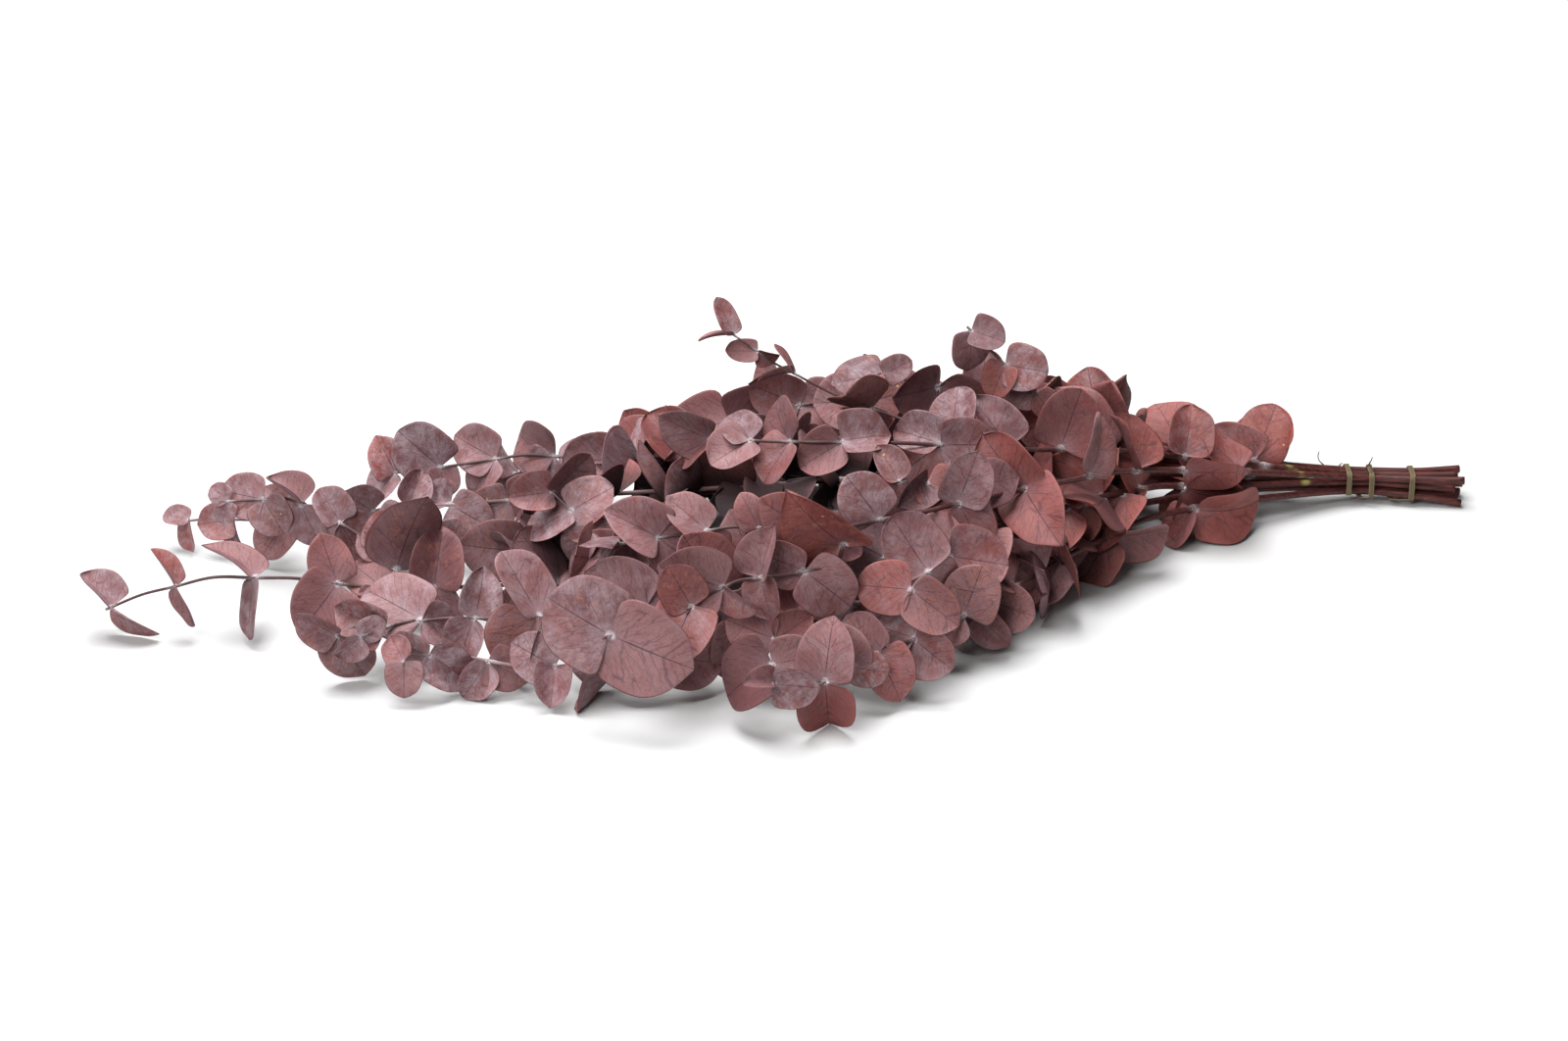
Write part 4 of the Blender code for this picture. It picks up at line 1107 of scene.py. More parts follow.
@dataclass
class Wood:
    """The stem and side shoots of one stem, as round tapering tubes with swollen nodes."""

    ring_step: float = 2.6
    ring_sides: int = 12
    swelling: float = 0.34
    swelling_reach: float = 1.7
    dust_reach: float = 2.8
    young_radius: float = 0.8
    old_radius: float = 1.7
    rind: float = 0.3

    def __post_init__(self) -> None:
        """Starts an empty mesh with its layer."""
        self.work = bmesh.new()
        self.bark = self.work.verts.layers.float_color.new("bark")

    def swollen(self, axis: Axis, at: float) -> tuple[float, float]:
        """Swells a shoot at its nodes.

        Args:
            axis: The shoot's axis.
            at: Distance along it.

        Returns:
            The radius there, and how near a node it is, from 0 to 1.
        """
        near = min(abs(at - node) for node in axis.nodes)
        radius = axis.radius(at) * (1.0 + self.swelling * hump(near, 0.0, self.swelling_reach))
        return radius, hump(near, 0.0, self.dust_reach)

    def grow(self, axis: Axis, phase: float, cut: bool) -> None:
        """Adds one shoot, ring by ring along its axis.

        Args:
            axis: The shoot's axis.
            phase: Random number from 0 to 1 that sets its bark apart.
            cut: Whether it starts at a cut end.
        """
        stops = sorted([*axis.tube, *((at, place.point) for at, place in zip(axis.nodes, axis.places))],
                       key=lambda stop: stop[0])
        route = Route([point for _, point in stops], step=self.ring_step)
        start, end = stops[0][0], stops[-1][0]
        middles = [(point, start + (end - start) * run / route.run[-1])
                   for point, run in zip(route.dense, route.run)]
        heading = (middles[1][0] - middles[0][0]).normalized()
        up, across = stem_frame(heading)
        ring = bmesh.ops.create_circle(self.work, segments=self.ring_sides, radius=1.0)["verts"]
        edges = list(dict.fromkeys(edge for vert in ring for edge in vert.link_edges))
        first = edges
        old = Matrix.Identity(4)
        for index, (point, at) in enumerate(middles):
            if index:
                heading = (middles[min(index + 1, len(middles) - 1)][0] - middles[index - 1][0]).normalized()
                up = (up - heading * up.dot(heading)).normalized()
                across = heading.cross(up)
                grown = bmesh.ops.extrude_edge_only(self.work, edges=edges)["geom"]
                ring = [item for item in grown if isinstance(item, bmesh.types.BMVert)]
                edges = [item for item in grown if isinstance(item, bmesh.types.BMEdge)]
            radius, near = self.swollen(axis, at)
            new = Matrix.Translation(row(point)) @ Matrix((across, up, heading)).transposed().to_4x4()
            new = new @ Matrix.Scale(radius * MM, 4)
            bmesh.ops.transform(self.work, matrix=new @ old.inverted(), verts=ring)
            old = new
            youth = share_of(axis.radius(at), self.old_radius, self.young_radius)
            for vert in ring:
                vert[self.bark] = (youth, near, phase, at / axis.total)
        self.cap(first, WoodSlot.CUT if cut else WoodSlot.BARK)
        self.cap(edges, WoodSlot.BARK)

    def cap(self, edges: list[bmesh.types.BMEdge], slot: WoodSlot) -> None:
        """Closes an end with a face that has a ring of rind round it.

        Args:
            edges: The end ring's edges.
            slot: Material slot of the end.
        """
        made = bmesh.ops.contextual_create(self.work, geom=edges)["faces"]
        inner = bmesh.ops.inset_region(self.work, faces=made, thickness=self.rind * MM, depth=0.0)["faces"]
        for face in [*made, *inner]:
            face.material_index = slot

    def piece(self, name: str, materials: list[bpy.types.Material]) -> bpy.types.Object:
        """The wood as one object."""
        bmesh.ops.recalc_face_normals(self.work, faces=self.work.faces[:])
        return finished(self.work, name, materials)


# Strips of bark torn loose near the tie
SLIVERS = (
    Sliver("stem_front_top", (306.0, 3.0, 19.0), (-0.9, 0.2, 0.38), (0.3, -0.3, 0.9), 11.0, 1.6, 1.2),
    Sliver("stem_front_top", (287.0, 9.0, 20.0), (-0.85, -0.1, 0.5), (0.4, -0.5, 0.75), 9.0, 2.0, 1.9),
    Sliver("stem_ridge", (300.0, 9.0, 20.5), (0.8, -0.1, 0.6), (-0.5, -0.2, 0.84), 8.0, 1.5, 1.0),
    Sliver("stem_front_low", (298.0, 6.0, 6.5), (-0.93, -0.1, -0.3), (0.0, -0.9, -0.4), 7.0, 1.3, -0.7),
    Sliver("stem_back_top", (280.0, 16.0, 22.0), (-0.9, 0.1, 0.42), (0.4, -0.2, 0.9), 10.0, 1.4, 1.5),
    Sliver("stem_front_left", (333.0, -0.6, 12.0), (0.6, -0.6, 0.5), (0.2, -0.8, 0.5), 7.5, 1.2, 2.2),
)


@dataclass
class Stem:
    """One grown stem of the bunch: it builds the wood and the leaves that replace its node.

    The heart is the heap's dense middle, where the shoots carry leaves between their nodes too.
    A leaf is full-grown at the first of the leaf ages, which are lengths, and young at the second.
    A bud's form is its leaves' width over length, fold, bend and cup.
    """

    form: LeafyStem
    rule: LeafRule
    leaf_ages: tuple = (30.0, 14.0)
    bud_length: float = 3.8
    bud_share: float = 0.45
    bud_spread: float = 0.35
    bud_form: tuple = (0.5, 0.5, 0.1, 0.2)
    heart: tuple = (5.0, 0.0, 30.0)
    heart_reach: tuple = (165.0, 95.0, 40.0)
    inner_nodes: int = 100
    inner_shares: tuple = (0.33, 0.67)
    inner_floor: float = 1.5
    inner_tip: float = 0.9
    tip_reach: float = 1.15

    def build(self, finishes: "Finishes") -> list[bpy.types.Object]:
        """Builds the stem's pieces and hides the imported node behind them.

        Args:
            finishes: The materials.

        Returns:
            The wood and the leaves.
        """
        packed = PackedCorners(self.form.name)
        sheets = LeafSheets()
        wood = Wood()
        found = 0
        for axis in lay_out(self.form):
            rng = random.Random(f"bark {axis.shoot.name}")
            wood.grow(axis, rng.random(), axis.shoot is self.form.main)
            found += self.leaves(axis, packed, sheets)
            self.inner_leaves(axis, sheets)
            self.bud(axis, sheets, rng)
        for sliver in SLIVERS:
            if sliver.stem == self.form.name:
                sheets.tear(sliver)
        pieces = [
            wood.piece(f"{self.form.name}_wood", [finishes.bark, finishes.cut]),
            sheets.piece(f"{self.form.name}_leaves", [finishes.leaf, finishes.leaf_under_shaded, finishes.bark]),
        ]
        for piece in pieces:
            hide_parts(self.form.name)
        LOG.info("%s: %d leaves settled", self.form.name, found)
        return pieces

    def leaves(self, axis: Axis, packed: PackedCorners, sheets: LeafSheets) -> int:
        """Adds a shoot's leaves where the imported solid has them.

        Args:
            axis: The shoot's axis.
            packed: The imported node's corners.
            sheets: The mesh that takes them.

        Returns:
            How many were found.
        """
        found = 0
        for node, place in enumerate(axis.places):
            for side in (0, 1):
                blade = packed.settled(place, self.rule.candidates(axis.shoot, place, node, side))
                if blade is not None:
                    found += 1
                    young = share_of(blade.length, *self.leaf_ages)
                    sheets.grow(blade, LeafLook.drawn(f"{axis.shoot.name}/{node}/{side}", blade, young))
        return found

    def inner_leaves(self, axis: Axis, sheets: LeafSheets) -> None:
        """Adds the leaves between a shoot's nodes that stay in the heart and above the table.

        Args:
            axis: The shoot's axis.
            sheets: The mesh that takes them.
        """
        for node, place in enumerate(self.between(axis)):
            for side in (0, 1):
                blade = next(self.rule.candidates(axis.shoot, place, self.inner_nodes + node, side))
                tip = blade.point(self.inner_tip, 0.0)
                if tip.z > self.inner_floor and self.from_heart(tip) < self.tip_reach:
                    sheets.grow(blade, LeafLook.drawn(f"{axis.shoot.name}/inner/{node}/{side}", blade, 0.0))

    def from_heart(self, point: Vector) -> float:
        """Distance from the middle of the heap's dense heart, 1 on its outside."""
        away = point - Vector(self.heart)
        return math.hypot(*(part / reach for part, reach in zip(away, self.heart_reach)))

    def between(self, axis: Axis) -> list[Place]:
        """Finds places between a shoot's nodes, in the heart of the heap.

        Args:
            axis: The shoot's axis.

        Returns:
            The places.
        """
        inner = []
        for low, high in zip(axis.places, axis.places[1:]):
            for share in self.inner_shares:
                middle = low.point.lerp(high.point, share)
                if self.from_heart(middle) < 1.0:
                    inner.append(Place(middle, low.direction, low.radius, low.leafy))
        return inner

    def bud(self, axis: Axis, sheets: LeafSheets, rng: random.Random) -> None:
        """Adds the two unopened leaves at a shoot's very tip, where it still has them.

        Args:
            axis: The shoot's axis.
            sheets: The mesh that takes them.
            rng: The shoot's own random numbers.
        """
        if rng.random() > self.bud_share:
            return
        tip = axis.tube[-1][1]
        heading = (tip - axis.tube[-2][1]).normalized()
        up, across = stem_frame(heading)
        ratio, fold, bend, cup = self.bud_form
        roll = rng.uniform(0.0, math.pi)
        out = up * math.cos(roll) + across * math.sin(roll)
        for sign in (-1.0, 1.0):
            along = (heading + out * (self.bud_spread * sign)).normalized()
            face = (out * -sign + along * along.dot(out) * sign).normalized()
            length = self.bud_length * rng.uniform(0.8, 1.2)
            blade = Blade(base=tip - heading * (TIP_STUB / 2.0), along=along, face=face, length=length,
                          width=length * ratio, fold=fold, bend=bend, cup=cup)
            sheets.grow(blade, LeafLook.drawn(f"bud {axis.shoot.name} {sign}", blade, 1.0))


@dataclass
class Tie:
    """The flat tie: three turns round the stems, sliding along underneath between bands.

    Bands are shares of the way from the tie's left end to its right one. A slide takes the last
    third of a turn. The length is that of the fibre pattern's map.
    """

    turns: int = 3
    points: int = 44
    columns: int = 6
    start: float = math.radians(205)
    width: float = 3.0
    thickness: float = 0.55
    clear: float = 0.35 + 0.8 / 2.0
    bands: tuple = (0.06, 0.38, 0.96, 0.96)
    sway: float = 0.25
    sways: int = 12
    sway_turn: float = 2.9
    sway_share: float = 0.35
    pinch: float = 0.12
    pinches: float = 41.0
    hollow: float = 0.10
    rib: float = 0.05
    ribs: float = 9.0
    length: float = 100.0

    def middle(self, turns: float, bundle: Bundle) -> tuple[Vector, Vector]:
        """Follows the tie's middle line round the stems.

        Args:
            turns: Turns from its start.
            bundle: The stems at the tie.

        Returns:
            The point there, and the direction outwards.
        """
        right, left = bundle.tied
        band = min(int(turns), self.turns - 1)
        share = way(self.bands[band:band + 2], unit((turns - band) * 3.0 - 2.0))
        angle = self.start - math.tau * turns
        out = Vector(bundle.across) * math.cos(angle) + Vector((0.0, 0.0, math.sin(angle)))
        centres = [bundle.slot_point(stem.slot, left).lerp(bundle.slot_point(stem.slot, right), share)
                   for stem in STEMS]
        furthest = max(centres, key=lambda centre: centre.dot(out))
        return furthest + out * (STEM_RADIUS + self.clear), out

    def build(self, finishes: "Finishes") -> bpy.types.Object:
        """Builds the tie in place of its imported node.

        Args:
            finishes: The materials.

        Returns:
            The tie.
        """
        bundle = Bundle()
        along = Vector(bundle.along)
        rng = random.Random("tie")
        sway = [rng.uniform(-self.sway, self.sway) for _ in range(self.sways)]
        work = bmesh.new()
        flat = work.loops.layers.uv.new("flat")
        verts = bmesh.ops.create_grid(work, x_segments=self.points * self.turns, y_segments=self.columns,
                                      size=1.0, calc_uvs=False)["verts"]
        places = {}
        for vert in verts:
            share, across = (vert.co.x + 1.0) / 2.0, vert.co.y
            point, out = self.middle(share * self.turns, bundle)
            swing = sum(size * math.sin(share * (k + 3) * self.sway_turn + k) for k, size in enumerate(sway))
            pinch = 1.0 - self.pinch * math.sin(share * self.pinches) ** 2
            point += along * (across * self.width / 2.0 * pinch + swing * self.sway_share)
            point += out * (self.hollow * across * across - self.rib * math.cos(across * self.ribs))
            places[vert] = (share * self.length, across)
            vert.co = row(point)
        for face in work.faces:
            for loop in face.loops:
                loop[flat].uv = places[loop.vert]
        tie = finished(work, "tie_band", [finishes.tie])
        thickened(tie, self.thickness)
        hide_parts("binding_tie")
        LOG.info("tie_band: %d turns", self.turns)
        return tie


class Value:
    """A number socket in a material, with the arithmetic that its maths is written in."""

    def __init__(self, paint: "Paint", socket: bpy.types.NodeSocket) -> None:
        """Wraps a socket of a material's nodes."""
        self.paint = paint
        self.socket = socket

    def __add__(self, other: "Value | float") -> "Value":
        """Sum."""
        return self.paint.math("ADD", self, other)

    __radd__ = __add__

    def __sub__(self, other: "Value | float") -> "Value":
        """Difference."""
        return self.paint.math("SUBTRACT", self, other)

    def __rsub__(self, other: float) -> "Value":
        """Difference from a number."""
        return self.paint.math("SUBTRACT", other, self)

    def __mul__(self, other: "Value | float") -> "Value":
        """Product."""
        return self.paint.math("MULTIPLY", self, other)

    __rmul__ = __mul__

    def __truediv__(self, other: "Value | float") -> "Value":
        """Quotient."""
        return self.paint.math("DIVIDE", self, other)

    def __abs__(self) -> "Value":
        """Size without sign."""
        return self.paint.math("ABSOLUTE", self)


class Paint:
    """One material's node tree, with the few calls that a finish needs."""

    def __init__(self, name: str, **constants: float) -> None:
        """Makes the material and sets its shader's constant sockets.

        Args:
            name: The material's name.
            constants: Values of the shader's sockets, with _ for a space in their names.
        """
        self.material = bpy.data.materials.new(name)
        self.material.use_nodes = True
        self.tree = self.material.node_tree
        self.shader = self.tree.nodes["Principled BSDF"]
        for socket, value in constants.items():
            self.shader.inputs[socket.replace("_", " ")].default_value = value

    def node(self, kind: str, settings: dict | None = None, values: dict | None = None) -> bpy.types.Node:
        """Makes any node.

        Args:
            kind: The node's type.
            settings: Its properties, set first; a ramp's stops come as "stops".
            values: Values or links of its sockets, by name or number.

        Returns:
            The node.
        """
        made = self.tree.nodes.new(kind)
        for key, value in (settings or {}).items():
            setattr(made, key, value)
        for key, value in (values or {}).items():
            if isinstance(value, Value):
                value = value.socket
            if isinstance(value, bpy.types.NodeSocket):
                self.tree.links.new(value, made.inputs[key])
            else:
                made.inputs[key].default_value = value
        return made

    def math(self, operation: str, *terms: "Value | float") -> Value:
        """A Math node's result."""
        made = self.node("ShaderNodeMath", {"operation": operation}, dict(enumerate(terms)))
        return Value(self, made.outputs[0])

    def most(self, first: Value, second: Value) -> Value:
        """The larger of two values."""
        return self.math("MAXIMUM", first, second)

    def distance(self, where: bpy.types.NodeSocket, point: tuple = (0.0, 0.0, 0.0)) -> Value:
        """Distance of a place from a point."""
        made = self.node("ShaderNodeVectorMath", {"operation": "DISTANCE"}, {0: where, 1: point})
        return Value(self, made.outputs["Value"])

    def ramp(self, value: Value, low: float, high: float, start: float = 0.0, end: float = 1.0) -> Value:
        """A smooth step of a value from low to high, giving start to end."""
        made = self.node("ShaderNodeMapRange", {"interpolation_type": "SMOOTHSTEP"},
                         {"Value": value, "From Min": low, "From Max": high, "To Min": start, "To Max": end})
        return Value(self, made.outputs[0])

    def vector(self, x: "Value | float", y: "Value | float", z: "Value | float") -> bpy.types.NodeSocket:
        """A vector of three numbers."""
        return self.node("ShaderNodeCombineXYZ", None, {0: x, 1: y, 2: z}).outputs[0]

    def split(self, vector: bpy.types.NodeSocket) -> tuple[Value, Value, Value]:
        """A vector's three numbers."""
        made = self.node("ShaderNodeSeparateXYZ", None, {0: vector})
        return tuple(Value(self, socket) for socket in made.outputs[:3])

    def uv(self, name: str) -> tuple[Value, Value]:
        """The two numbers of one of the piece's UV maps."""
        return self.split(self.node("ShaderNodeUVMap", {"uv_map": name}).outputs[0])[:2]

    def attribute(self, name: str) -> tuple[Value, Value, Value, Value]:
        """The four numbers of one of the piece's colour attributes."""
        made = self.node("ShaderNodeAttribute", {"attribute_name": name})
        return (*self.split(made.outputs["Color"]), Value(self, made.outputs["Alpha"]))

    def place(self, scale: tuple = (1.0, 1.0, 1.0), turn: float = 0.0) -> bpy.types.NodeSocket:
        """The piece's own coordinates, turned about Z and then scaled."""
        own = self.node("ShaderNodeTexCoord").outputs["Object"]
        return self.node("ShaderNodeMapping", {"vector_type": "TEXTURE" if turn else "POINT"}, {
            "Vector": own, "Rotation": (0.0, 0.0, turn),
            "Scale": tuple(1.0 / part for part in scale) if turn else scale}).outputs[0]

    def noise(self, where: bpy.types.NodeSocket, scale: float, detail: float = 2.0, rough: float = 0.5,
              bend: float = 0.0) -> Value:
        """Smooth noise from about 0 to 1."""
        made = self.node("ShaderNodeTexNoise", None, {
            "Vector": where, "Scale": scale, "Detail": detail, "Roughness": rough, "Distortion": bend})
        return Value(self, made.outputs[0])

    def cells(self, where: bpy.types.NodeSocket, scale: float, feature: str = "F1") -> Value:
        """Distance of a Voronoi pattern, to its points or to its edges."""
        made = self.node("ShaderNodeTexVoronoi", {"feature": feature}, {"Vector": where, "Scale": scale})
        return Value(self, made.outputs["Distance"])

    def mix(self, share: Value, low: object, high: object) -> bpy.types.NodeSocket:
        """A colour between two, each given as a link or as three linear numbers."""
        pair = [(*end, 1.0) if isinstance(end, tuple) else end for end in (low, high)]
        made = self.node("ShaderNodeMix", {"data_type": "RGBA", "clamp_factor": True},
                         {0: share, 6: pair[0], 7: pair[1]})
        return made.outputs[2]

    def show(self, socket: str, value: "Value | bpy.types.NodeSocket") -> None:
        """Links a value to one of the shader's sockets."""
        link = value.socket if isinstance(value, Value) else value
        self.tree.links.new(link, self.shader.inputs[socket])

    def bump(self, height: Value, strength: float, distance: float) -> None:
        """Raises the surface by a height, in metres at most."""
        made = self.node("ShaderNodeBump", None,
                         {"Height": height, "Strength": strength, "Distance": distance})
        self.tree.links.new(made.outputs[0], self.shader.inputs["Normal"])


class LeafGround:
    """What a leaf's material is painted on: places on the leaf, its own tints and shared noises."""

    def __init__(self, paint: Paint) -> None:
        """Reads the piece's UV maps and attributes."""
        self.paint = paint
        self.t, side = paint.uv("flat")
        self.out = abs(side - 0.5)
        self.share = abs(paint.uv("rim")[1] - 0.5)
        self.warmth, self.bloom, self.blotch, self.phase = paint.attribute("tint")
        # How deep in the heap, for the painted shade of its core.
        self.shade = paint.attribute("heap")[0]
        self.seed = self.phase * 37.0
        self.flat = paint.vector(self.t, side, self.seed)
        self.own = paint.place()
        self.drift = paint.noise(self.flat, 3.2, 3.0, 0.6) - 0.5
        self.fine = paint.noise(self.own, 900.0, 3.0, 0.65)
        self.reach = paint.math("SQRT", self.t * self.t + self.out * self.out)


class Veins:
    """A leaf's veins, each from 0 to 1: the midrib, side veins, the net in them, rays, and all."""

    def __init__(self, ground: LeafGround) -> None:
        """Draws the veins: the net and the side veins are warped cells, drawn out along them."""
        paint, t, out = ground.paint, ground.t, ground.out
        warp = ground.drift * 0.16
        slant = (t - out * 0.85 + warp) * 6.5
        across = out * 1.7 + warp
        inside = paint.ramp(ground.share, 0.485, 0.40)
        coarse = paint.vector(slant, across, ground.seed)
        close = paint.vector(slant * 2.6, across * 7.0, ground.seed)
        bearing = paint.math("ARCTAN2", out, t + 0.02)
        ray = abs(paint.math("FRACT", bearing * 3.6 + warp * 2.4 + ground.phase) - 0.5)
        midrib = paint.ramp(out / (0.012 - t * 0.007), 1.5, 0.5)
        self.side = paint.ramp(paint.cells(coarse, 1.0, "DISTANCE_TO_EDGE"), 0.040, 0.008) * inside
        self.net = paint.ramp(paint.cells(close, 1.0, "DISTANCE_TO_EDGE"), 0.10, 0.03) * inside
        self.rays = paint.ramp(ray, 0.10, 0.02) * paint.ramp(ground.reach, 0.62, 0.14)
        self.all = paint.most(midrib, paint.most(self.side * 0.48, self.rays * 0.72))


@dataclass(frozen=True)
class LeafFinish:
    """Preserved leaf: dyed mauve rose with rust blotches, pale bloom and fine veins, and painted shade deep
    in the heap.
    """

    name: str
    mauve: tuple = (0.248, 0.109, 0.111)
    rust: tuple = (0.310, 0.078, 0.062)
    amber: tuple = (0.275, 0.098, 0.072)
    fleck: tuple = (0.110, 0.030, 0.024)
    maroon: tuple = (0.070, 0.018, 0.021)
    lilac: tuple = (0.450, 0.380, 0.420)
    white: tuple = (0.700, 0.690, 0.730)
    vein: tuple = (0.040, 0.016, 0.028)
    # Near black: the painted shade of leaves deep in the heap.
    core: tuple = (0.016, 0.005, 0.006)
    gold: tuple = (0.700, 0.480, 0.160)
    relief: float = 0.5

    def material(self) -> bpy.types.Material:
        """Builds the material."""
        paint = Paint(self.name, Specular_IOR_Level=0.30)
        ground = LeafGround(paint)
        veins = Veins(ground)
        own, fine = ground.own, ground.fine
        cloud = paint.ramp(paint.noise(own, 42.0, 5.0, 0.62), 0.32, 0.74)
        patch = paint.ramp(paint.noise(ground.flat, 5.0, 6.0, 0.72, 0.8) + ground.blotch * 0.15, 0.64, 0.76)
        haze = paint.ramp(paint.noise(ground.flat, 3.6, 6.0, 0.68, 0.3), 0.34, 0.70) * ground.bloom
        pale = self.pale(ground, veins, haze)
        tone = self.dyed(ground, veins, cloud, patch)
        tone = self.bloomed(ground, veins, pale, tone)
        paint.show("Base Color", self.edged(ground, tone))
        paint.show("Roughness", 0.50 + fine * 0.16 + pale * 0.15 - patch * 0.06)
        height = fine * 0.16 - veins.all * self.relief - veins.net * 0.12 + cloud * 0.12
        paint.bump(height + paint.noise(own, 260.0, 2.0) * 0.5, 0.45, 0.0004)
        return paint.material

    def dyed(self, ground: LeafGround, veins: Veins, cloud: Value, patch: Value) -> bpy.types.NodeSocket:
        """The dye: rose to rust, with darker clouds, rust blotches, speckles and the net of veins.

        Args:
            ground: The leaf's places and tints.
            veins: Its veins.
            cloud: Where the dye is darker.
            patch: Where it is blotched.

        Returns:
            The colour.
        """
        paint, warmth, blotch = ground.paint, ground.warmth, ground.blotch
        tone = paint.mix(paint.ramp(warmth + ground.drift * 0.7, 0.12, 0.85), self.mauve, self.rust)
        dark_leaf = paint.ramp(ground.phase, 0.40, 1.0) * 0.50 * (1.0 - warmth * 0.5)
        tone = paint.mix(cloud * 0.30 + dark_leaf, tone, self.maroon)
        tone = paint.mix(patch * 0.75, tone, self.amber)
        speckled = paint.ramp(paint.noise(ground.flat, 6.0, 4.0, 0.6) + blotch * 0.25, 0.55, 0.70)
        speck = paint.ramp(paint.cells(ground.own, 520.0), 0.30, 0.12) * speckled
        tone = paint.mix(speck * 0.6, tone, self.fleck)
        return paint.mix(veins.net * 0.24 + veins.side * 0.10, tone, self.vein)

    @staticmethod
    def pale(ground: LeafGround, veins: Veins, haze: Value) -> Value:
        """Spreads the bloom: near the root, along the rays there, and in clouds.

        Args:
            ground: The leaf's places and tints.
            veins: Its veins.
            haze: The clouds.

        Returns:
            How pale the leaf is.
        """
        paint, bloom = ground.paint, ground.bloom
        root = paint.ramp(ground.reach, 0.46, 0.02) * (0.22 + veins.rays * 0.75 + haze * 0.5)
        grit = 0.55 + paint.ramp(ground.fine, 0.35, 0.65) * 0.45
        return paint.most(root * (0.50 + bloom * 0.65), haze * 0.66) * grit

    def bloomed(self, ground: LeafGround, veins: Veins, pale: Value,
                tone: bpy.types.NodeSocket) -> bpy.types.NodeSocket:
        """Lays the bloom on the dye, with dark veins on it and a white root.

        Args:
            ground: The leaf's places and tints.
            veins: Its veins.
            pale: How pale the bloom makes it.
            tone: The dye's colour.

        Returns:
            The colour.
        """
        paint, reach = ground.paint, ground.reach
        tone = paint.mix(pale, tone, self.lilac)
        tone = paint.mix(veins.all * paint.ramp(reach, 0.02, 0.30, 0.15, 0.78), tone, self.vein)
        return paint.mix(paint.ramp(reach, 0.085, 0.02) * 0.75, tone, self.white)

    def edged(self, ground: LeafGround, tone: bpy.types.NodeSocket) -> bpy.types.NodeSocket:
        """Adds a dark rim, a little gold on few leaves, and painted shade in the heap's core.

        Args:
            ground: The leaf's places and tints.
            tone: The colour so far.

        Returns:
            The colour.
        """
        paint, fine = ground.paint, ground.fine
        edge = paint.ramp(ground.share + ground.drift * 0.02, 0.478, 0.496)
        tone = paint.mix(edge * 0.65, tone, self.maroon)
        gold = paint.ramp(paint.cells(ground.own, 90.0) + fine * 0.05, 0.10, 0.07)
        gold *= paint.ramp(ground.blotch, 0.90, 0.93) * paint.ramp(fine, 0.4, 0.6)
        tone = paint.mix(gold, tone, self.gold)
        # Painted shade: darker the deeper the point lies in the heap.
        return paint.mix(paint.ramp(ground.shade, 0.02, 0.46) * 0.95, tone, self.core)


@dataclass(frozen=True)
class BarkFinish:
    """Bark: smooth dark red-brown on thick stems, pinkish grey with bloom on thin shoots.

    It has yellow-green spots on the bare stems. Its grain runs along the bundle.
    """

    dark: tuple = (0.040, 0.012, 0.011)
    red: tuple = (0.125, 0.030, 0.026)
    brown: tuple = (0.075, 0.040, 0.042)
    pinkish: tuple = (0.230, 0.150, 0.155)
    white: tuple = (0.620, 0.560, 0.580)
    green: tuple = (0.420, 0.400, 0.120)
    spots: tuple = ((262.0, 8.0, 22.0), (268.0, 8.0, 17.5), (258.0, 14.0, 24.0))
    spot_edge: tuple = (0.0055, 0.0025)
    grain: tuple = (60.0, 900.0, 900.0)
    grain_turn: float = -0.2527

    def material(self) -> bpy.types.Material:
        """Builds the material."""
        paint = Paint("bark", Specular_IOR_Level=0.28)
        youth, near, phase, _ = paint.attribute("bark")
        own = paint.place()
        grain = paint.noise(paint.place(self.grain, self.grain_turn), 1.0, 4.0, 0.6)
        fine = paint.noise(own, 1300.0, 3.0, 0.6)
        tone = paint.mix(paint.ramp(grain, 0.35, 0.72), self.dark, self.red)
        thin = paint.mix(paint.ramp(phase, 0.45, 0.95), self.brown, self.pinkish)
        tone = paint.mix(youth * 0.85, tone, thin)
        scuff = paint.ramp(paint.noise(own, 160.0, 4.0, 0.65), 0.62, 0.78)
        tone = paint.mix(scuff * (0.10 + youth * 0.25), tone, self.pinkish)
        dust = paint.most(near * 0.66, scuff * (0.06 + youth * 0.2)) * paint.ramp(fine, 0.30, 0.62)
        tone = paint.mix(dust, tone, self.white)
        marks = [paint.ramp(paint.distance(own, tuple(row(Vector(spot)))) + fine * 0.002, *self.spot_edge)
                 for spot in self.spots]
        tone = paint.mix(reduce(paint.most, marks) * 0.8, tone, self.green)
        paint.show("Base Color", tone)
        paint.show("Roughness", 0.42 + dust * 0.3 + fine * 0.12)
        paint.bump(grain * 0.6 + fine * 0.25, 0.4, 0.0003)
        return paint.material


@dataclass(frozen=True)
class CutFinish:
    """A cut end: dark reddish wood with a paler rind and fine pores."""

    wood: tuple = (0.060, 0.022, 0.017)
    red: tuple = (0.160, 0.040, 0.030)

    def material(self) -> bpy.types.Material:
        """Builds the material."""
        paint = Paint("cut_wood", Specular_IOR_Level=0.3)
        grain = paint.noise(paint.place(), 1100.0, 4.0, 0.7)
        paint.show("Base Color", paint.mix(paint.ramp(grain, 0.4, 0.65), self.wood, self.red))
        paint.show("Roughness", 0.7 + grain * 0.2)
        paint.bump(grain, 0.5, 0.0003)
        return paint.material


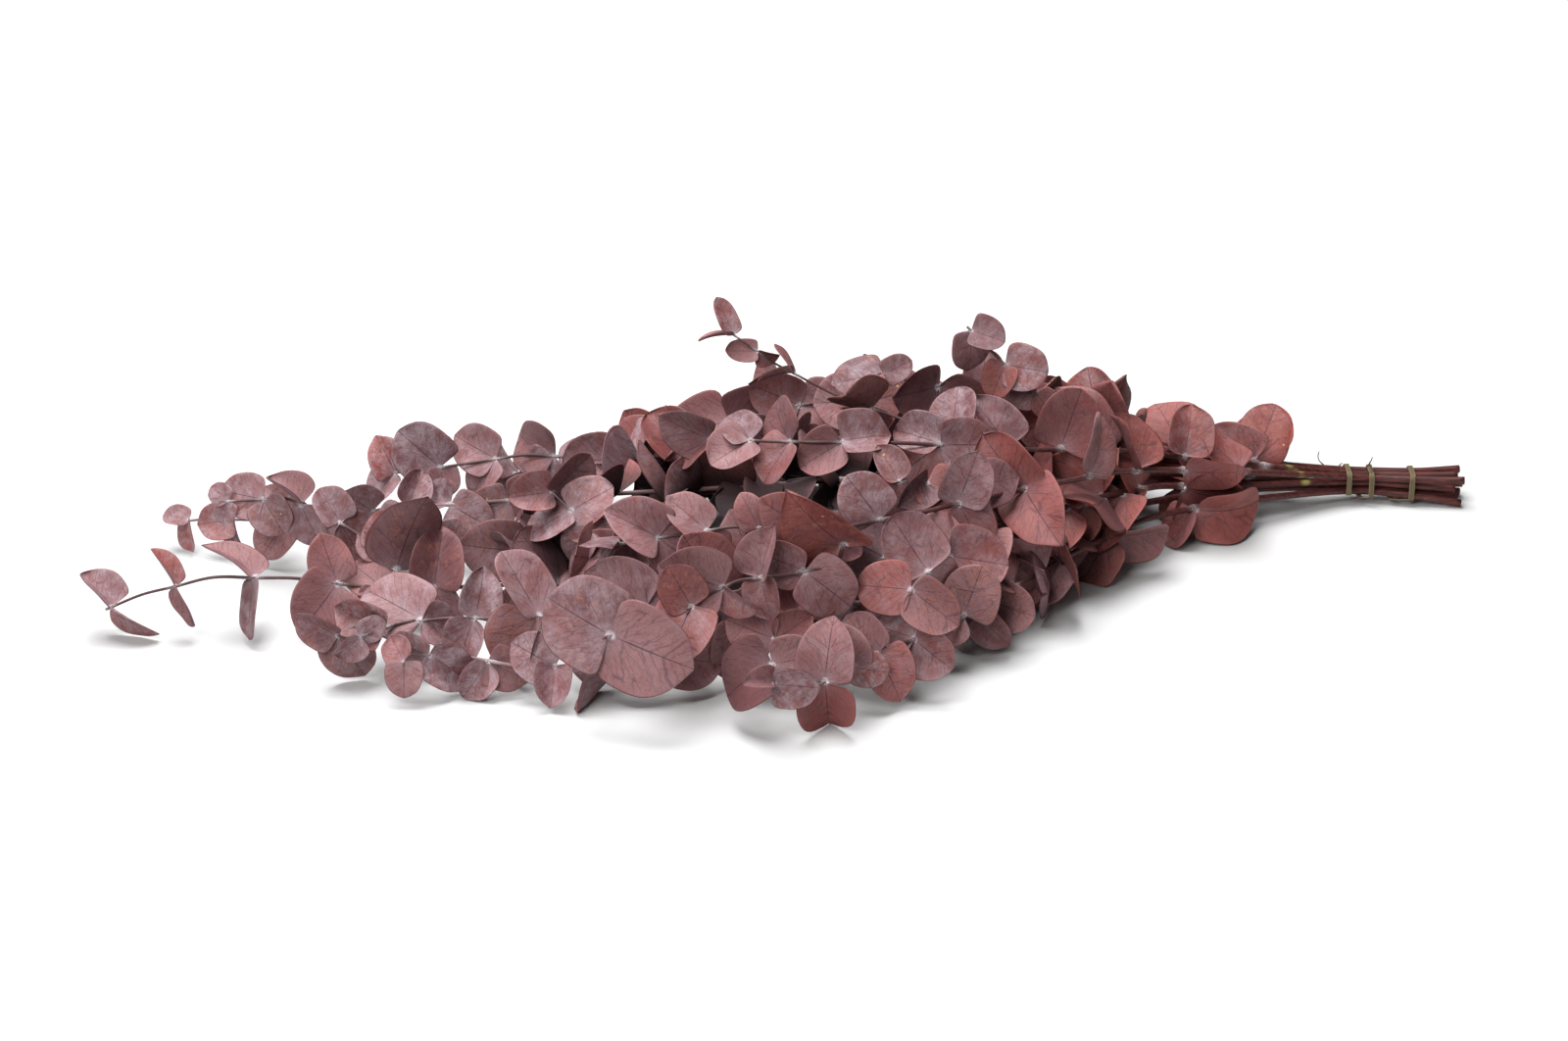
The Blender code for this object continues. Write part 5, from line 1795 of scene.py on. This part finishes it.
@dataclass(frozen=True)
class TieFinish:
    """The tie: olive raffia-like fibre, lighter along its edges."""

    olive: tuple = (0.080, 0.060, 0.026)
    light: tuple = (0.185, 0.148, 0.075)

    def material(self) -> bpy.types.Material:
        """Builds the material."""
        paint = Paint("tie_fibre", Specular_IOR_Level=0.4)
        along, across = paint.uv("flat")
        fibre = paint.noise(paint.vector(along * 0.6, across * 9.0, 0.0), 1.0, 4.0, 0.65)
        edge = paint.ramp(abs(across), 0.55, 0.95)
        tone = paint.mix(paint.ramp(fibre, 0.3, 0.7) * 0.55 + edge * 0.5, self.olive, self.light)
        paint.show("Base Color", tone)
        paint.show("Roughness", 0.48 + fibre * 0.25)
        paint.bump(fibre, 0.5, 0.0004)
        return paint.material


class Finishes:
    """The materials of the whole bunch."""

    def __init__(self) -> None:
        """Builds each once."""
        self.leaf = LeafFinish("leaf_face").material()
        # The undersides: the same dye a little duller, its rust much darker as painted shade, and raised
        # veins.
        self.leaf_under_shaded = LeafFinish(
            "leaf_back", mauve=(0.215, 0.112, 0.122), rust=(0.175, 0.062, 0.056), relief=-0.35).material()
        self.bark = BarkFinish().material()
        self.cut = CutFinish().material()
        self.tie = TieFinish().material()


@dataclass(frozen=True)
class Studio:
    """White table, soft light and the camera at the photograph's angle."""

    distance: float = 1.85
    lens: float = 85.0
    target: tuple = (-0.023, -0.020, 0.04)
    floor_size: float = 6.0
    near_white: tuple = (0.60, 0.60, 0.60)
    far_white: tuple = (0.86, 0.86, 0.86)
    whites: tuple = (0.4, 1.1)
    lamps: tuple = (("overhead", (-0.25, 0.35, 1.7), (0.0, 0.0, 0.0), 1.3, 63.0),
                    ("window", (-1.0, -1.2, 1.3), (0.0, 0.0, 0.02), 1.0, 27.0))
    sky: float = 0.09
    sensor: float = 36.0

    def build(self) -> None:
        """Builds the stage, the lights and the camera."""
        self.floor()
        self.world()
        for lamp in self.lamps:
            self.lamp(*lamp)
        self.camera()

    def floor(self) -> None:
        """A plain white floor."""
        paint = Paint("white_table", Roughness=0.85, Specular_IOR_Level=0.10)
        far = paint.ramp(paint.distance(paint.place()), *self.whites)
        paint.show("Base Color", paint.mix(far, self.near_white, self.far_white))
        work = bmesh.new()
        bmesh.ops.create_grid(work, x_segments=1, y_segments=1, size=self.floor_size / 2.0)
        meshed(work, "table", [paint.material])

    def world(self) -> None:
        """An even white surround."""
        world = bpy.data.worlds.new("surround")
        world.use_nodes = True
        background = world.node_tree.nodes["Background"]
        background.inputs["Color"].default_value = (1.0, 1.0, 1.0, 1.0)
        background.inputs["Strength"].default_value = self.sky
        bpy.context.scene.world = world

    def lamp(self, name: str, place: tuple, aim: tuple, size: float, power: float) -> None:
        """One square soft light.

        Args:
            name: The light's name.
            place: Where it stands.
            aim: The point that it faces.
            size: Length of its sides.
            power: Its power in watts.
        """
        light = bpy.data.lights.new(name, "AREA")
        light.size = size
        light.energy = power
        lamp = placed(name, light)
        lamp.location = place
        lamp.rotation_euler = (Vector(aim) - Vector(place)).to_track_quat("-Z", "Y").to_euler()

    def camera(self) -> None:
        """The camera, where the photographer stood."""
        right, up, back = Viewpoint().axes()
        camera = bpy.data.cameras.new("camera")
        camera.lens = self.lens
        camera.sensor_width = self.sensor
        eye = placed("camera", camera)
        target = Vector(self.target) + CENTRE_SHIFT * MM
        turn = Matrix((right, up, back)).transposed().to_4x4()
        eye.matrix_world = Matrix.Translation(target + back * self.distance) @ turn
        bpy.context.scene.camera = eye
        bpy.context.scene.view_settings.view_transform = "Standard"


def main() -> None:
    """Builds the bunch and its stage."""
    logging.basicConfig(level=logging.INFO, format="%(message)s")
    Studio().build()
    finishes = Finishes()
    rule = LeafRule(*Viewpoint().axes())
    for form in STEMS:
        for piece in Stem(form, rule).build(finishes):
            LOG.info("%s: %d faces", piece.name, len(piece.data.polygons))
    Tie().build(finishes)
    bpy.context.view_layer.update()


if __name__ == "__main__":
    main()
